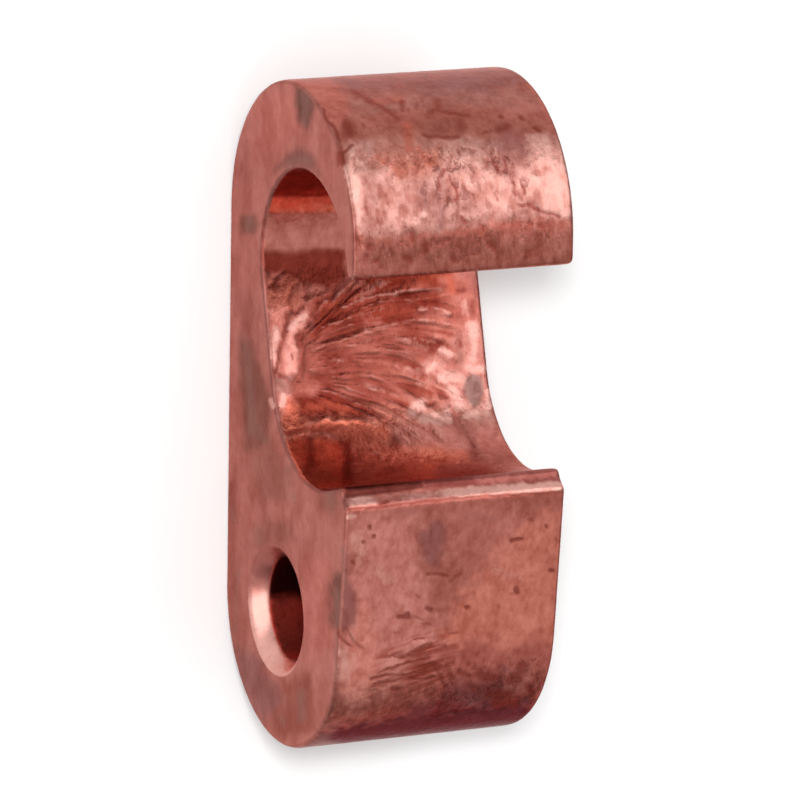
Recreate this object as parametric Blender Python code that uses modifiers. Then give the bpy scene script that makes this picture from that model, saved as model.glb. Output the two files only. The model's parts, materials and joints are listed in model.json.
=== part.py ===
"""Ground tap connector: one slice of hook-shaped copper bar with a bored tail.

The C-shaped hook closes round a ground rod. The tap cable passes through the bore
in the thick tail below it. The part lies on its flat spine with its mouth up.
X runs along the rod and the cable, +Y points from the tail to the hook, and Z is
the height above the spine. The origin is the middle of the spine's footprint.
"""
import math

import bmesh
import bpy

# Driving dimensions, in millimetres.
BAR_LENGTH = 18.85           # thickness of the slice, along the rod
HOOK_ROUND_RADIUS = 11.6     # outer round over the hook, which sets its height
TAIL_ROUND_RADIUS = 10.75    # outer round below the bore
ROUND_SPACING = 30.8         # between the centres of the two outer rounds

CROWN_WALL = 6.6             # metal over the pocket at the end of the hook
SPINE_WALL = 6.2             # metal behind the pocket where it is deepest
POCKET_LENGTH = 24.4         # from the pocket's crown to its floor
CROWN_RADIUS = 7.85          # pocket round under the crown
FLOOR_RADIUS = 8.3           # pocket round that runs into the floor
FLOOR_HEIGHT = 16.7          # height of that round's centre above the spine

LIP_DROP = 2.0               # upper lip's end short of the hook round's centre
LIP_CORNER_RADIUS = 0.6      # outer corner of the upper lip
RAMP_ANGLE = 16.5            # degrees that the pocket floor rises towards the lower lip
LOWER_LIP_HEIGHT = 21.45     # height of the lower lip's tip above the spine
LIP_STEP_RISE = 0.4          # small step outside that tip: how far it goes out
LIP_STEP_DROP = 0.8          # and how far it goes back
LIP_LEDGE_RISE = 0.8         # ledge from the step to the open face: how far out
LIP_LEDGE_DROP = 0.6         # and how far back

BORE_DIAMETER = 8.1          # passage of the tap cable
BORE_WALL = 5.7              # metal between the bore and the spine
COUNTERSINK_DIAMETER = 10.1  # at each end face
COUNTERSINK_DEPTH = 1.2

EDGE_BREAK = 0.35            # worn radius on every sharp edge
EDGE_BREAK_SEGMENTS = 2
SHARP_FROM_ANGLE = 25.0      # degrees between faces that count as a sharp edge
FLAT_WITHIN_ANGLE = 0.5      # degrees between faces that still count as one flat
ARC_ERROR = 0.004            # how far a straight piece may leave its arc
CUT_OVERRUN = 1.0            # how far a cutter runs past the metal that it cuts

MM = 0.001
WELD_DISTANCE = 0.00001

# Levels along Y and heights along Z that the features share.
OVERALL_LENGTH = TAIL_ROUND_RADIUS + ROUND_SPACING + HOOK_ROUND_RADIUS
HOOK_LEVEL = OVERALL_LENGTH / 2 - HOOK_ROUND_RADIUS
TAIL_LEVEL = HOOK_LEVEL - ROUND_SPACING
CROWN_LEVEL = OVERALL_LENGTH / 2 - CROWN_WALL - CROWN_RADIUS
FLOOR_LEVEL = OVERALL_LENGTH / 2 - CROWN_WALL - POCKET_LENGTH + FLOOR_RADIUS

HOOK_CENTRE = (HOOK_LEVEL, HOOK_ROUND_RADIUS)
TAIL_CENTRE = (TAIL_LEVEL, TAIL_ROUND_RADIUS)
CROWN_CENTRE = (CROWN_LEVEL, SPINE_WALL + CROWN_RADIUS)
FLOOR_CENTRE = (FLOOR_LEVEL, FLOOR_HEIGHT)
BORE_CENTRE = (TAIL_LEVEL, BORE_WALL + BORE_DIAMETER / 2)


def clear_scene():
    """Remove whatever the file opened with."""
    for item in list(bpy.data.objects):
        bpy.data.objects.remove(item, do_unlink=True)


def new_collection(name):
    """Make a collection under the scene's own."""
    collection = bpy.data.collections.new(name)
    bpy.context.scene.collection.children.link(collection)
    return collection


def copper():
    """Satin copper, a little dull from handling."""
    material = bpy.data.materials.new("copper")
    material.use_nodes = True
    shader = material.node_tree.nodes["Principled BSDF"]
    shader.inputs["Base Color"].default_value = (0.56, 0.20, 0.145, 1.0)
    shader.inputs["Metallic"].default_value = 1.0
    shader.inputs["Roughness"].default_value = 0.4
    return material


def on_circle(centre, radius, angle):
    """Point of a circle, as (along, height), with the angle in degrees from +Y towards +Z."""
    turn = math.radians(angle)
    return (centre[0] + radius * math.cos(turn), centre[1] + radius * math.sin(turn))


def pieces_for(radius, sweep):
    """How many straight pieces keep a round stretch of so many degrees within ARC_ERROR."""
    step = 2 * math.degrees(math.acos(1 - ARC_ERROR / radius))
    return max(2, math.ceil(abs(sweep) / step))


def arc(centre, radius, start, end):
    """Points of an arc, both ends included."""
    pieces = pieces_for(radius, end - start)
    return [on_circle(centre, radius, start + (end - start) * step / pieces)
            for step in range(pieces + 1)]


def inner_tangent_angle():
    """Direction from both pocket centres to where one straight wall touches both rounds."""
    run = FLOOR_CENTRE[0] - CROWN_CENTRE[0]
    rise = FLOOR_CENTRE[1] - CROWN_CENTRE[1]
    spacing = math.hypot(run, rise)
    lean = math.degrees(math.atan2(rise, run))
    return lean + math.degrees(math.acos((CROWN_RADIUS - FLOOR_RADIUS) / spacing))


def open_face_angle(corner):
    """Direction from the tail's centre to where a line from the lip's corner touches its round."""
    run = corner[0] - TAIL_CENTRE[0]
    rise = corner[1] - TAIL_CENTRE[1]
    distance = math.hypot(run, rise)
    return math.degrees(math.atan2(rise, run) + math.acos(TAIL_ROUND_RADIUS / distance))


def hook_points():
    """Outer round of the hook, from the spine over the crown to the upper lip's end."""
    outer_height = 2 * HOOK_ROUND_RADIUS
    lip_level = HOOK_LEVEL - LIP_DROP
    corner = (lip_level + LIP_CORNER_RADIUS, outer_height - LIP_CORNER_RADIUS)
    return arc(HOOK_CENTRE, HOOK_ROUND_RADIUS, -90, 90) + arc(corner, LIP_CORNER_RADIUS, 90, 180)


def lower_lip_tip():
    """Where the rising pocket floor ends, as (along, height)."""
    start = on_circle(FLOOR_CENTRE, FLOOR_RADIUS, 180 - RAMP_ANGLE)
    climb = (LOWER_LIP_HEIGHT - start[1]) * math.tan(math.radians(RAMP_ANGLE))
    return (start[0] + climb, LOWER_LIP_HEIGHT)


def pocket_points():
    """Pocket wall, from the upper lip round the crown and the floor to the lower lip's tip."""
    lip_level = HOOK_LEVEL - LIP_DROP
    lip_angle = math.degrees(math.acos((lip_level - CROWN_LEVEL) / CROWN_RADIUS))
    wall_angle = inner_tangent_angle() - 360
    ramp_start = 180 - RAMP_ANGLE
    crown = arc(CROWN_CENTRE, CROWN_RADIUS, lip_angle, wall_angle)
    floor = arc(FLOOR_CENTRE, FLOOR_RADIUS, wall_angle, ramp_start - 360)
    return crown + floor + [lower_lip_tip()]


def tail_points():
    """Step and ledge of the lower lip, the leaning open face and the round of the tail."""
    tip = lower_lip_tip()
    step_foot = (tip[0] - LIP_STEP_DROP, tip[1] + LIP_STEP_RISE)
    corner = (step_foot[0] - LIP_LEDGE_DROP, step_foot[1] + LIP_LEDGE_RISE)
    return [step_foot, corner] + arc(TAIL_CENTRE, TAIL_ROUND_RADIUS, open_face_angle(corner), 270)


def extruded_bar(collection):
    """The bar's section, filled and drawn out along X, as a closed mesh object."""
    outline = hook_points() + pocket_points() + tail_points()
    curve = bpy.data.curves.new("section", "CURVE")
    curve.dimensions = "2D"
    curve.fill_mode = "BOTH"
    curve.extrude = BAR_LENGTH * MM / 2
    spline = curve.splines.new("POLY")
    spline.points.add(len(outline) - 1)
    for point, (along, height) in zip(spline.points, outline):
        point.co = (along * MM, height * MM, 0.0, 1.0)
    spline.use_cyclic_u = True

    section = bpy.data.objects.new("section", curve)
    section.rotation_euler = (math.pi / 2, 0.0, math.pi / 2)
    collection.objects.link(section)
    bpy.context.view_layer.update()
    evaluated = section.evaluated_get(bpy.context.evaluated_depsgraph_get())
    mesh = bpy.data.meshes.new_from_object(evaluated)
    mesh.name = "connector_body"
    mesh.transform(section.matrix_world)
    bpy.data.objects.remove(section, do_unlink=True)
    weld(mesh)

    body = bpy.data.objects.new("connector_body", mesh)
    collection.objects.link(body)
    return body


def weld(mesh):
    """Join the loose caps of an extruded curve to its walls, and make each flat one face."""
    work = bmesh.new()
    work.from_mesh(mesh)
    bmesh.ops.remove_doubles(work, verts=work.verts, dist=WELD_DISTANCE)
    bmesh.ops.dissolve_limit(work, angle_limit=math.radians(FLAT_WITHIN_ANGLE),
                             verts=work.verts, edges=work.edges)
    bmesh.ops.recalc_face_normals(work, faces=work.faces)
    work.to_mesh(mesh)
    work.free()


def bore_cutter(collection):
    """Turned cutter for the bore and the countersink at each of its ends."""
    bore_radius = BORE_DIAMETER / 2
    flare = (COUNTERSINK_DIAMETER / 2 - bore_radius) / COUNTERSINK_DEPTH
    half = BAR_LENGTH / 2
    throat = half - COUNTERSINK_DEPTH
    end = half + CUT_OVERRUN
    end_radius = bore_radius + flare * (end - throat)
    profile = [(0.0, end), (end_radius, end), (bore_radius, throat),
               (bore_radius, -throat), (end_radius, -end), (0.0, -end)]

    mesh = bpy.data.meshes.new("bore_cutter")
    points = [(radius * MM, 0.0, level * MM) for radius, level in profile]
    edges = [(index, index + 1) for index in range(len(points) - 1)]
    mesh.from_pydata(points, edges, [])
    cutter = bpy.data.objects.new("bore_cutter", mesh)
    cutter.location = (0.0, BORE_CENTRE[0] * MM, BORE_CENTRE[1] * MM)
    cutter.rotation_euler = (0.0, math.pi / 2, 0.0)
    cutter.hide_render = True
    cutter.display_type = "WIRE"
    collection.objects.link(cutter)

    turn = cutter.modifiers.new("turn", "SCREW")
    turn.axis = "Z"
    turn.steps = pieces_for(bore_radius, 360)
    turn.render_steps = turn.steps
    turn.use_merge_vertices = True
    turn.merge_threshold = WELD_DISTANCE
    return cutter


def bore_through(body, cutter):
    """Cut the bore through the tail."""
    cut = body.modifiers.new("cable bore", "BOOLEAN")
    cut.operation = "DIFFERENCE"
    cut.solver = "EXACT"
    cut.object = cutter


def break_edges(body):
    """Round every sharp edge by the same small worn radius."""
    wear = body.modifiers.new("broken edges", "BEVEL")
    wear.width = EDGE_BREAK * MM
    wear.segments = EDGE_BREAK_SEGMENTS
    wear.limit_method = "ANGLE"
    wear.angle_limit = math.radians(SHARP_FROM_ANGLE)
    wear.use_clamp_overlap = False


def build():
    """Model the connector."""
    clear_scene()
    parts = new_collection("ground_tap_connector")
    cutters = new_collection("cutters")
    body = extruded_bar(parts)
    body.data.materials.clear()
    body.data.materials.append(copper())
    body.data.shade_smooth()
    body.data.set_sharp_from_angle(angle=math.radians(SHARP_FROM_ANGLE))
    bore_through(body, bore_cutter(cutters))
    break_edges(body)


build()
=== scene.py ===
# %% [markdown]
# # A copper ground tap connector
#
# The real part is one piece of sawn and drilled copper bar. Its hook drops over a ground rod, and a
# cable runs through the bore in its tail. This script dresses the plain solid: it cuts the solid's own
# mesh finer, works the tool marks and dents into it, darkens its edges with wear and painted shade, and
# gives it a mottled copper finish with some painted highlight and shade in its colour.
#
# The first cell loads the imported solid, which stays where it is, and keeps the box around it.

# %% Load the imported part
import math

import bmesh
import bpy
import numpy as np
from mathutils import Matrix, Vector, noise
from mathutils.bvhtree import BVHTree
from mathutils.geometry import delaunay_2d_cdt
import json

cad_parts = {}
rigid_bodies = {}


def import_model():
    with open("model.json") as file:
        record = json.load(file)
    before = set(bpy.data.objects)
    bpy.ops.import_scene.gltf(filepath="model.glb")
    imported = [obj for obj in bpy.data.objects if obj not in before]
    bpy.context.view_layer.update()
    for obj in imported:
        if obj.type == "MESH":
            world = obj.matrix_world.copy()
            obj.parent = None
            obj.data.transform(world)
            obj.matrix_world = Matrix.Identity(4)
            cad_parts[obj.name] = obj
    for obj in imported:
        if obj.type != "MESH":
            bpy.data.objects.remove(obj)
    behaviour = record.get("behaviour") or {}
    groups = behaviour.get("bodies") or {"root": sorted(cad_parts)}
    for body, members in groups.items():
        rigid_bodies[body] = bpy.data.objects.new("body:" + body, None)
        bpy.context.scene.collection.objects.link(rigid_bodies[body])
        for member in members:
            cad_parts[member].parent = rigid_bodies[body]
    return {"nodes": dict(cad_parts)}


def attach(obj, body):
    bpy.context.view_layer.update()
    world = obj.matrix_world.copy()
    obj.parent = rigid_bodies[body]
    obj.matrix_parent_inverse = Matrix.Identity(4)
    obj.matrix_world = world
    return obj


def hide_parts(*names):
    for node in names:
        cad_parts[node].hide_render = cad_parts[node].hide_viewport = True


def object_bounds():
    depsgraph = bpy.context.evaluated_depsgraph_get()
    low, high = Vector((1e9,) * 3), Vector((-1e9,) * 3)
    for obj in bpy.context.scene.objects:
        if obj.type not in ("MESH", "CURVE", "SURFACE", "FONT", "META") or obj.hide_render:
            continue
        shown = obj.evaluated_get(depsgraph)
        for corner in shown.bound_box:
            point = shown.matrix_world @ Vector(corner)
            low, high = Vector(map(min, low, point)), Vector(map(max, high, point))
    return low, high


for leftover in list(bpy.data.objects):
    bpy.data.objects.remove(leftover)
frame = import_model()
MM = 0.001
cad_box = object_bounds()
plain = frame["nodes"]["connector_body"]
print("solid's box in mm:", [[round(c / MM, 2) for c in corner] for corner in cad_box])

# %% [markdown]
# ## The camera
#
# The photograph was taken from far away with a long lens, so the edges along the bar stay nearly
# parallel. Turning the camera by three angles is easy to read: azimuth round the upright direction of
# the photograph, elevation above it, and a small roll. The lens then sets how large the part shows.
# The part lies on its flat spine, so the photograph's upright direction is +Y here.

# %% Camera at the photograph's angle
PHOTO_SIZE = 800
SENSOR_WIDTH_MM = 36.0
FOCAL_PIXELS = 6417.5
CAMERA_PLACE = Vector((-212.36, 108.5, 455.81)) * MM
CAMERA_AZIMUTH = math.radians(25.576)
CAMERA_ELEVATION = math.radians(12.349)
CAMERA_ROLL = math.radians(0.952)
CLIP_START = 0.05
CLIP_END = 20.0

back = Vector(
    (
        -math.sin(CAMERA_AZIMUTH) * math.cos(CAMERA_ELEVATION),
        math.sin(CAMERA_ELEVATION),
        math.cos(CAMERA_AZIMUTH) * math.cos(CAMERA_ELEVATION),
    )
)
level_right = Vector((0, 1, 0)).cross(back).normalized()
level_up = back.cross(level_right)
right = math.cos(CAMERA_ROLL) * level_right + math.sin(CAMERA_ROLL) * level_up
up = math.cos(CAMERA_ROLL) * level_up - math.sin(CAMERA_ROLL) * level_right

camera_data = bpy.data.cameras.new("photo_camera")
camera_data.sensor_width = SENSOR_WIDTH_MM
camera_data.lens = FOCAL_PIXELS * SENSOR_WIDTH_MM / PHOTO_SIZE
camera_data.clip_start = CLIP_START
camera_data.clip_end = CLIP_END
camera = bpy.data.objects.new("photo_camera", camera_data)
bpy.context.scene.collection.objects.link(camera)
turned = Matrix((right, up, back)).transposed()
camera.matrix_world = Matrix.Translation(CAMERA_PLACE) @ turned.to_4x4()
bpy.context.scene.camera = camera
print(f"lens {camera_data.lens:.1f} mm, looking from {[round(c / MM) for c in CAMERA_PLACE]} mm")

# %% [markdown]
# ## Floor and light
#
# The floor is plain and white. Its shader adds a little light of its own, but only for the camera and
# for what mirrors or lets through the floor, so it looks white, keeps the part's shadow, and puts no
# more light on the part.

# %% A white floor that keeps the shadow
FLOOR_SIZE = 6.0
FLOOR_WHITE = 0.82
FLOOR_GLOW = 0.06

bpy.ops.mesh.primitive_plane_add(size=FLOOR_SIZE, location=(0, 0, 0))
floor = bpy.context.active_object
floor.name = "floor"
floor_material = bpy.data.materials.new("white_floor")
floor_material.use_nodes = True
floor_nodes = floor_material.node_tree.nodes
floor_links = floor_material.node_tree.links
floor_nodes.clear()
floor_output = floor_nodes.new("ShaderNodeOutputMaterial")
light_path = floor_nodes.new("ShaderNodeLightPath")
looked_at = light_path.outputs["Is Camera Ray"]
for ray_kind in ("Is Glossy Ray", "Is Transmission Ray"):
    either = floor_nodes.new("ShaderNodeMath")
    either.operation = "MAXIMUM"
    floor_links.new(looked_at, either.inputs[0])
    floor_links.new(light_path.outputs[ray_kind], either.inputs[1])
    looked_at = either.outputs[0]
plain_white = floor_nodes.new("ShaderNodeBsdfDiffuse")
plain_white.inputs["Color"].default_value = (FLOOR_WHITE, FLOOR_WHITE, FLOOR_WHITE, 1)
glow = floor_nodes.new("ShaderNodeEmission")
glow.inputs["Strength"].default_value = FLOOR_GLOW
shown = floor_nodes.new("ShaderNodeAddShader")
floor_links.new(plain_white.outputs[0], shown.inputs[0])
floor_links.new(glow.outputs[0], shown.inputs[1])
floor_mix = floor_nodes.new("ShaderNodeMixShader")
floor_links.new(looked_at, floor_mix.inputs[0])
floor_links.new(plain_white.outputs[0], floor_mix.inputs[1])
floor_links.new(shown.outputs[0], floor_mix.inputs[2])
floor_links.new(floor_mix.outputs[0], floor_output.inputs["Surface"])
floor.data.materials.append(floor_material)
print("floor:", FLOOR_SIZE, "m wide")

# %% [markdown]
# Copper is mostly what it mirrors. The photograph shows a wide bright band over the hook, a bright
# countersink and a dark underside, so there is one softbox over the hook, one at the left, and a room
# that gets darker towards the foot of the photograph. The two softboxes are only mirrored. A third,
# small lamp is never mirrored: it lights the floor and draws the shadow below the tail. Each lamp is
# given as the brightness of its face.

# %% Softboxes and the room
SOFTBOX_DISTANCE = 0.6
SOFTBOXES = {
    "key": {"towards": (0.42, 0.45, 0.79), "size": 0.50, "brightness": 1.4},
    "left": {"towards": (-0.80, 0.10, 0.55), "size": 0.70, "brightness": 1.6},
    "shadow": {"towards": (-0.40, 0.29, 0.87), "size": 0.09, "brightness": 90},
}
SHADOW_LAMP = "shadow"
ROOM_DARK = 0.22
ROOM_LIGHT = 0.85
ROOM_DARK_UP_TO = -0.96
ROOM_LIGHT_FROM = -0.72


def softbox(name, towards, size, brightness):
    """A square lamp that looks at the part, with a face of that brightness."""
    lamp = bpy.data.lights.new(name, "AREA")
    lamp.shape = "SQUARE"
    lamp.size = size
    lamp.energy = brightness * math.pi * size**2
    holder = bpy.data.objects.new(name, lamp)
    bpy.context.scene.collection.objects.link(holder)
    direction = Vector(towards).normalized()
    middle = (cad_box[0] + cad_box[1]) / 2
    holder.location = middle + direction * SOFTBOX_DISTANCE
    holder.rotation_euler = direction.to_track_quat("Z", "Y").to_euler()
    holder.visible_camera = False
    holder.visible_glossy = name != SHADOW_LAMP
    holder.visible_diffuse = name == SHADOW_LAMP
    return holder


for name, facts in SOFTBOXES.items():
    print("softbox", name, [round(c, 2) for c in softbox(name, **facts).location])

world = bpy.data.worlds.new("room")
bpy.context.scene.world = world
world.use_nodes = True
world_nodes = world.node_tree.nodes
world_links = world.node_tree.links
room = world_nodes["Background"]
room.inputs["Color"].default_value = (1, 1, 1, 1)
direction_axes = world_nodes.new("ShaderNodeSeparateXYZ")
world_links.new(world_nodes.new("ShaderNodeTexCoord").outputs["Generated"], direction_axes.inputs[0])
room_level = world_nodes.new("ShaderNodeMapRange")
room_level.interpolation_type = "SMOOTHSTEP"
world_links.new(direction_axes.outputs["Y"], room_level.inputs["Value"])
room_level.inputs["From Min"].default_value = ROOM_DARK_UP_TO
room_level.inputs["From Max"].default_value = ROOM_LIGHT_FROM
room_level.inputs["To Min"].default_value = ROOM_DARK
room_level.inputs["To Max"].default_value = ROOM_LIGHT
world_links.new(room_level.outputs[0], room.inputs["Strength"])
bpy.context.scene.view_settings.view_transform = "Standard"

# %% [markdown]
# ## The copper body's mesh
#
# The solid has long faces from end to end, which is right for a plain part but leaves nothing to
# shape. A copy of its mesh is merged, its flat faces are joined, and then its long edges are cut, so
# that it becomes an even net of small squares.

# %% A copy of the solid's mesh, merged
WELD_DISTANCE = 0.00001
FLAT_WITHIN = math.radians(0.5)
NEARLY_FLAT = math.radians(8)

bpy.ops.object.select_all(action="DESELECT")
body = bpy.data.objects.new("copper_body", plain.data.copy())
bpy.context.scene.collection.objects.link(body)
bpy.context.view_layer.objects.active = body
body.select_set(True)
body.data.materials.clear()
bpy.ops.object.mode_set(mode="EDIT")
bpy.ops.mesh.select_all(action="SELECT")
bpy.ops.mesh.remove_doubles(threshold=WELD_DISTANCE)
bpy.ops.mesh.customdata_custom_splitnormals_clear()
bpy.ops.mesh.dissolve_limited(angle_limit=FLAT_WITHIN)
bpy.ops.mesh.tris_convert_to_quads(face_threshold=NEARLY_FLAT, shape_threshold=math.pi)
bpy.ops.object.mode_set(mode="OBJECT")
print("merged copy:", len(body.data.vertices), "points,", len(body.data.polygons), "faces")

# %% [markdown]
# The end faces are opened for now, with a narrow flat rim left round each of them. The rim keeps the
# edge crisp when the smoothing comes. The long edges are then cut across, and the long straight runs of
# the outline are cut to the same length, one loop of edges at a time.

# %% Open the end faces, leaving a rim
END_X = cad_box[1].x
RIM_WIDTH = 0.15 * MM
ALONG_BAR = 0.999


def select_faces(mesh, wanted):
    """In object mode, selects the faces for which wanted(face) is true, and nothing else."""
    for edge in mesh.edges:
        edge.select = False
    for vertex in mesh.vertices:
        vertex.select = False
    for face in mesh.polygons:
        face.select = bool(wanted(face))


def select_edges(mesh, wanted):
    """In object mode, selects the edges for which wanted(start, end) is true, and nothing else."""
    for face in mesh.polygons:
        face.select = False
    for vertex in mesh.vertices:
        vertex.select = False
    for edge in mesh.edges:
        start, end = (mesh.vertices[i].co for i in edge.vertices)
        edge.select = bool(wanted(start, end))
    return sum(edge.select for edge in mesh.edges)


select_faces(body.data, lambda face: abs(face.normal.x) > ALONG_BAR)
bpy.ops.object.mode_set(mode="EDIT")
bpy.ops.mesh.select_mode(type="FACE")
bpy.ops.mesh.inset(thickness=RIM_WIDTH, depth=0, use_boundary=True, use_even_offset=True)
bpy.ops.mesh.delete(type="FACE")
bpy.ops.object.mode_set(mode="OBJECT")
print("opened ends:", len(body.data.polygons), "faces")

# %% Cut the long edges
BAR_CUTS = 22
OUTLINE_STEP = 0.7 * MM
SPINE_STEP = 1.6 * MM
LONG_EDGE = 10 * MM
SPINE_LENGTH = 20 * MM
LEAST_LENGTH = 1.2 * OUTLINE_STEP
ACROSS_WITHIN = 0.01 * MM
SAME_PLACE = 0.7 * MM
SAME_LENGTH = 0.2
SAME_DIRECTION = 0.99


def cut_selected(cuts):
    """Cuts every selected edge into cuts + 1 equal pieces, and joins the cuts across the faces."""
    bpy.ops.object.mode_set(mode="EDIT")
    bpy.ops.mesh.select_mode(type="EDGE")
    bpy.ops.mesh.subdivide(number_cuts=cuts, smoothness=0)
    bpy.ops.object.mode_set(mode="OBJECT")


def outline_run(start, end):
    """The middle and direction of an edge of the outline, seen along the bar. None for any other edge."""
    if abs(end.x - start.x) > ACROSS_WITHIN:
        return None
    across = Vector((0, 1, 1))
    return (start + end) * across / 2, ((end - start) * across).normalized()


select_edges(body.data, lambda start, end: abs(end.x - start.x) > LONG_EDGE)
cut_selected(BAR_CUTS)
straight_runs = []
for edge in body.data.edges:
    start, end = (body.data.vertices[i].co for i in edge.vertices)
    run = outline_run(start, end)
    length = (end - start).length
    if run is None or length < LEAST_LENGTH:
        continue
    if all((run[0] - known[0]).length > SAME_PLACE for known in straight_runs):
        straight_runs.append((*run, length))
print("straight runs of the outline in mm:", [round(length / MM, 1) for *_, length in straight_runs])

for run_place, run_direction, run_length in straight_runs:

    def on_run(start, end):
        run = outline_run(start, end)
        if run is None or abs((end - start).length / run_length - 1) > SAME_LENGTH:
            return False
        return (run[0] - run_place).length < SAME_PLACE and abs(run[1].dot(run_direction)) > SAME_DIRECTION

    step = SPINE_STEP if run_length > SPINE_LENGTH else OUTLINE_STEP
    select_edges(body.data, on_run)
    cut_selected(max(1, round(run_length / step) - 1))
print("after cutting:", len(body.data.polygons), "faces")

# %% [markdown]
# A Subdivision Surface makes the net finer and rounds its facets. Tool marks need a finer net still,
# but only where they show, so the faces that look up out of the open side are cut once more.

# %% Smooth the net, and make it finer where the marks go
bpy.ops.object.modifier_add(type="SUBSURF")
smoothing = body.modifiers[-1]
smoothing.levels = 1
smoothing.render_levels = 1
bpy.ops.object.modifier_apply(modifier=smoothing.name)
smooth_faces = len(body.data.polygons)

BORE_CENTRE = Vector((0, -15.825, 9.75)) * MM
BORE_REACH = 5.3 * MM
TOWARDS_CAMERA = 0.1
TOWARDS_SPINE = -0.2


def shows_marks(face):
    """True for a face that looks towards the open side and isn't in the bore."""
    off_bore = (face.center - BORE_CENTRE) * Vector((0, 1, 1))
    looks_up = face.normal.dot(back) > TOWARDS_CAMERA and face.normal.z > TOWARDS_SPINE
    return looks_up and off_bore.length > BORE_REACH


select_faces(body.data, shows_marks)
bpy.ops.object.mode_set(mode="EDIT")
bpy.ops.mesh.select_mode(type="FACE")
bpy.ops.mesh.subdivide(number_cuts=1, smoothness=1.0)
bpy.ops.object.mode_set(mode="OBJECT")
print("smoothed:", smooth_faces, "faces, then", len(body.data.polygons), "with the finer places")

# %% [markdown]
# The end faces are closed again, with a net of their own, so that stains can be painted on them later.
# Blender's Delaunay helper joins the rim's points and an even spread of inner points into triangles.
# It fills the pocket and the bore too, so triangles are kept from one that is surely in the copper,
# outwards, until the rim stops them.

# %% Close the end faces with a fine net
CAP_STEP = {-1: 0.42 * MM, 1: 0.8 * MM}
SURELY_COPPER = np.array((-4.0, 4.0)) * MM
ROW_SHARE = 0.87
RIM_GAP_SHARE = 0.6
JOIN_WITHIN = 1e-5
LEVEL_WITHIN = 1e-12


def inside_rim(points, starts, ends):
    """For each point, whether a line from it to the far right crosses the rim an odd number of times."""
    inside = np.zeros(len(points), bool)
    for start, end in zip(starts, ends):
        spans = (start[1] > points[:, 1]) != (end[1] > points[:, 1])
        rise = end[1] - start[1]
        slope = (end[0] - start[0]) / rise if abs(rise) > LEVEL_WITHIN else 0.0
        inside ^= spans & (points[:, 0] < start[0] + (points[:, 1] - start[1]) * slope)
    return inside


def reached(triangles, seed, walls):
    """The triangles that can be reached from the seed without crossing an edge in walls."""
    sides_of = {}
    for number, (a, b, c) in enumerate(triangles):
        for side in ((a, b), (b, c), (c, a)):
            sides_of.setdefault(frozenset(side), []).append(number)
    found = {seed}
    waiting = [seed]
    while waiting:
        a, b, c = triangles[waiting.pop()]
        for side in ((a, b), (b, c), (c, a)):
            if frozenset(side) in walls:
                continue
            new = set(sides_of[frozenset(side)]) - found
            found |= new
            waiting.extend(new)
    return [triangles[number] for number in sorted(found)]


def close_end(mesh, side):
    """Fills the open end on that side of the bar with triangles, and gives their number."""
    rim_edges = [e for e in mesh.edges if e.is_boundary and e.verts[0].co.x * side > 0]
    rim_points = list({v for e in rim_edges for v in e.verts})
    number = {v: i for i, v in enumerate(rim_points)}
    flat = np.array([(v.co.y, v.co.z) for v in rim_points])
    pairs = [(number[e.verts[0]], number[e.verts[1]]) for e in rim_edges]
    starts = flat[[a for a, b in pairs]]
    ends = flat[[b for a, b in pairs]]
    step = CAP_STEP[side]
    columns = np.arange(cad_box[0].y, cad_box[1].y, step)
    rows = np.arange(cad_box[0].z, cad_box[1].z, step * ROW_SHARE)
    inner = np.array([(y + step / 2 * (i % 2), z) for i, z in enumerate(rows) for y in columns])
    inner = inner[inside_rim(inner, starts, ends)]
    nearest = np.full(len(inner), np.inf)
    for point in flat:
        nearest = np.minimum(nearest, np.hypot(*(inner - point).T))
    inner = inner[nearest > step * RIM_GAP_SHARE]
    everything = np.vstack([flat, inner])
    result = delaunay_2d_cdt([Vector(p / MM) for p in everything], pairs, [], 0, JOIN_WITHIN)
    sources = [min(old_numbers) for old_numbers in result[3]]
    places = everything[sources]
    middles = places[np.array(result[2])].mean(axis=1)
    seed = int(np.argmin(np.hypot(*(middles - SURELY_COPPER).T)))
    new_number = {source: i for i, source in enumerate(sources)}
    walls = {frozenset((new_number[a], new_number[b])) for a, b in pairs}
    kept = reached(result[2], seed, walls)
    made = [
        rim_points[source] if source < len(rim_points) else mesh.verts.new((side * END_X, *place))
        for source, place in zip(sources, places)
    ]
    for corner_numbers in kept:
        face = mesh.faces.new([made[c] for c in corner_numbers])
        face.normal_update()
        if face.normal.x * side < 0:
            face.normal_flip()
    return len(kept)


net = bmesh.new()
net.from_mesh(body.data)
for side in (-1, 1):
    print("end face", side, "closed with", close_end(net, side), "triangles")
net.to_mesh(body.data)
print("open edges left:", sum(e.is_boundary for e in net.edges))
net.free()

# %% [markdown]
# ## Tool marks, dents, stains, and painted highlight and shade
#
# This part has been used: a rod has gouged the pocket, the hook is dented, and stains sit on every
# face. Some marks are painted highlight and painted shade: on ridges and along edges, in grooves and
# under the ledge. Each mark is a brush stroke, given by a few pixels of the photograph and half its
# width. A ray from the camera finds where the stroke lies on the part. The strokes then push the points
# of the net in or out, and paint how bright, dark or stained each point is.

# %% Where each point of the net shows in the photograph
point_count = len(body.data.vertices)


def of_each_point(name):
    """The place or the normal of every point of the net."""
    values = np.empty(point_count * 3)
    body.data.vertices.foreach_get(name, values)
    return values.reshape(-1, 3)


points = of_each_point("co")
normals = of_each_point("normal")
camera_axes = np.array((right, up, back))
from_camera = (points - np.array(CAMERA_PLACE)) @ camera_axes.T
depth = -from_camera[:, 2]
pixels = PHOTO_SIZE / 2 + FOCAL_PIXELS * from_camera[:, :2] / depth[:, None] * np.array((1, -1))
print("the net fills the pixels", pixels.min(axis=0).round(), "to", pixels.max(axis=0).round())

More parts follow.
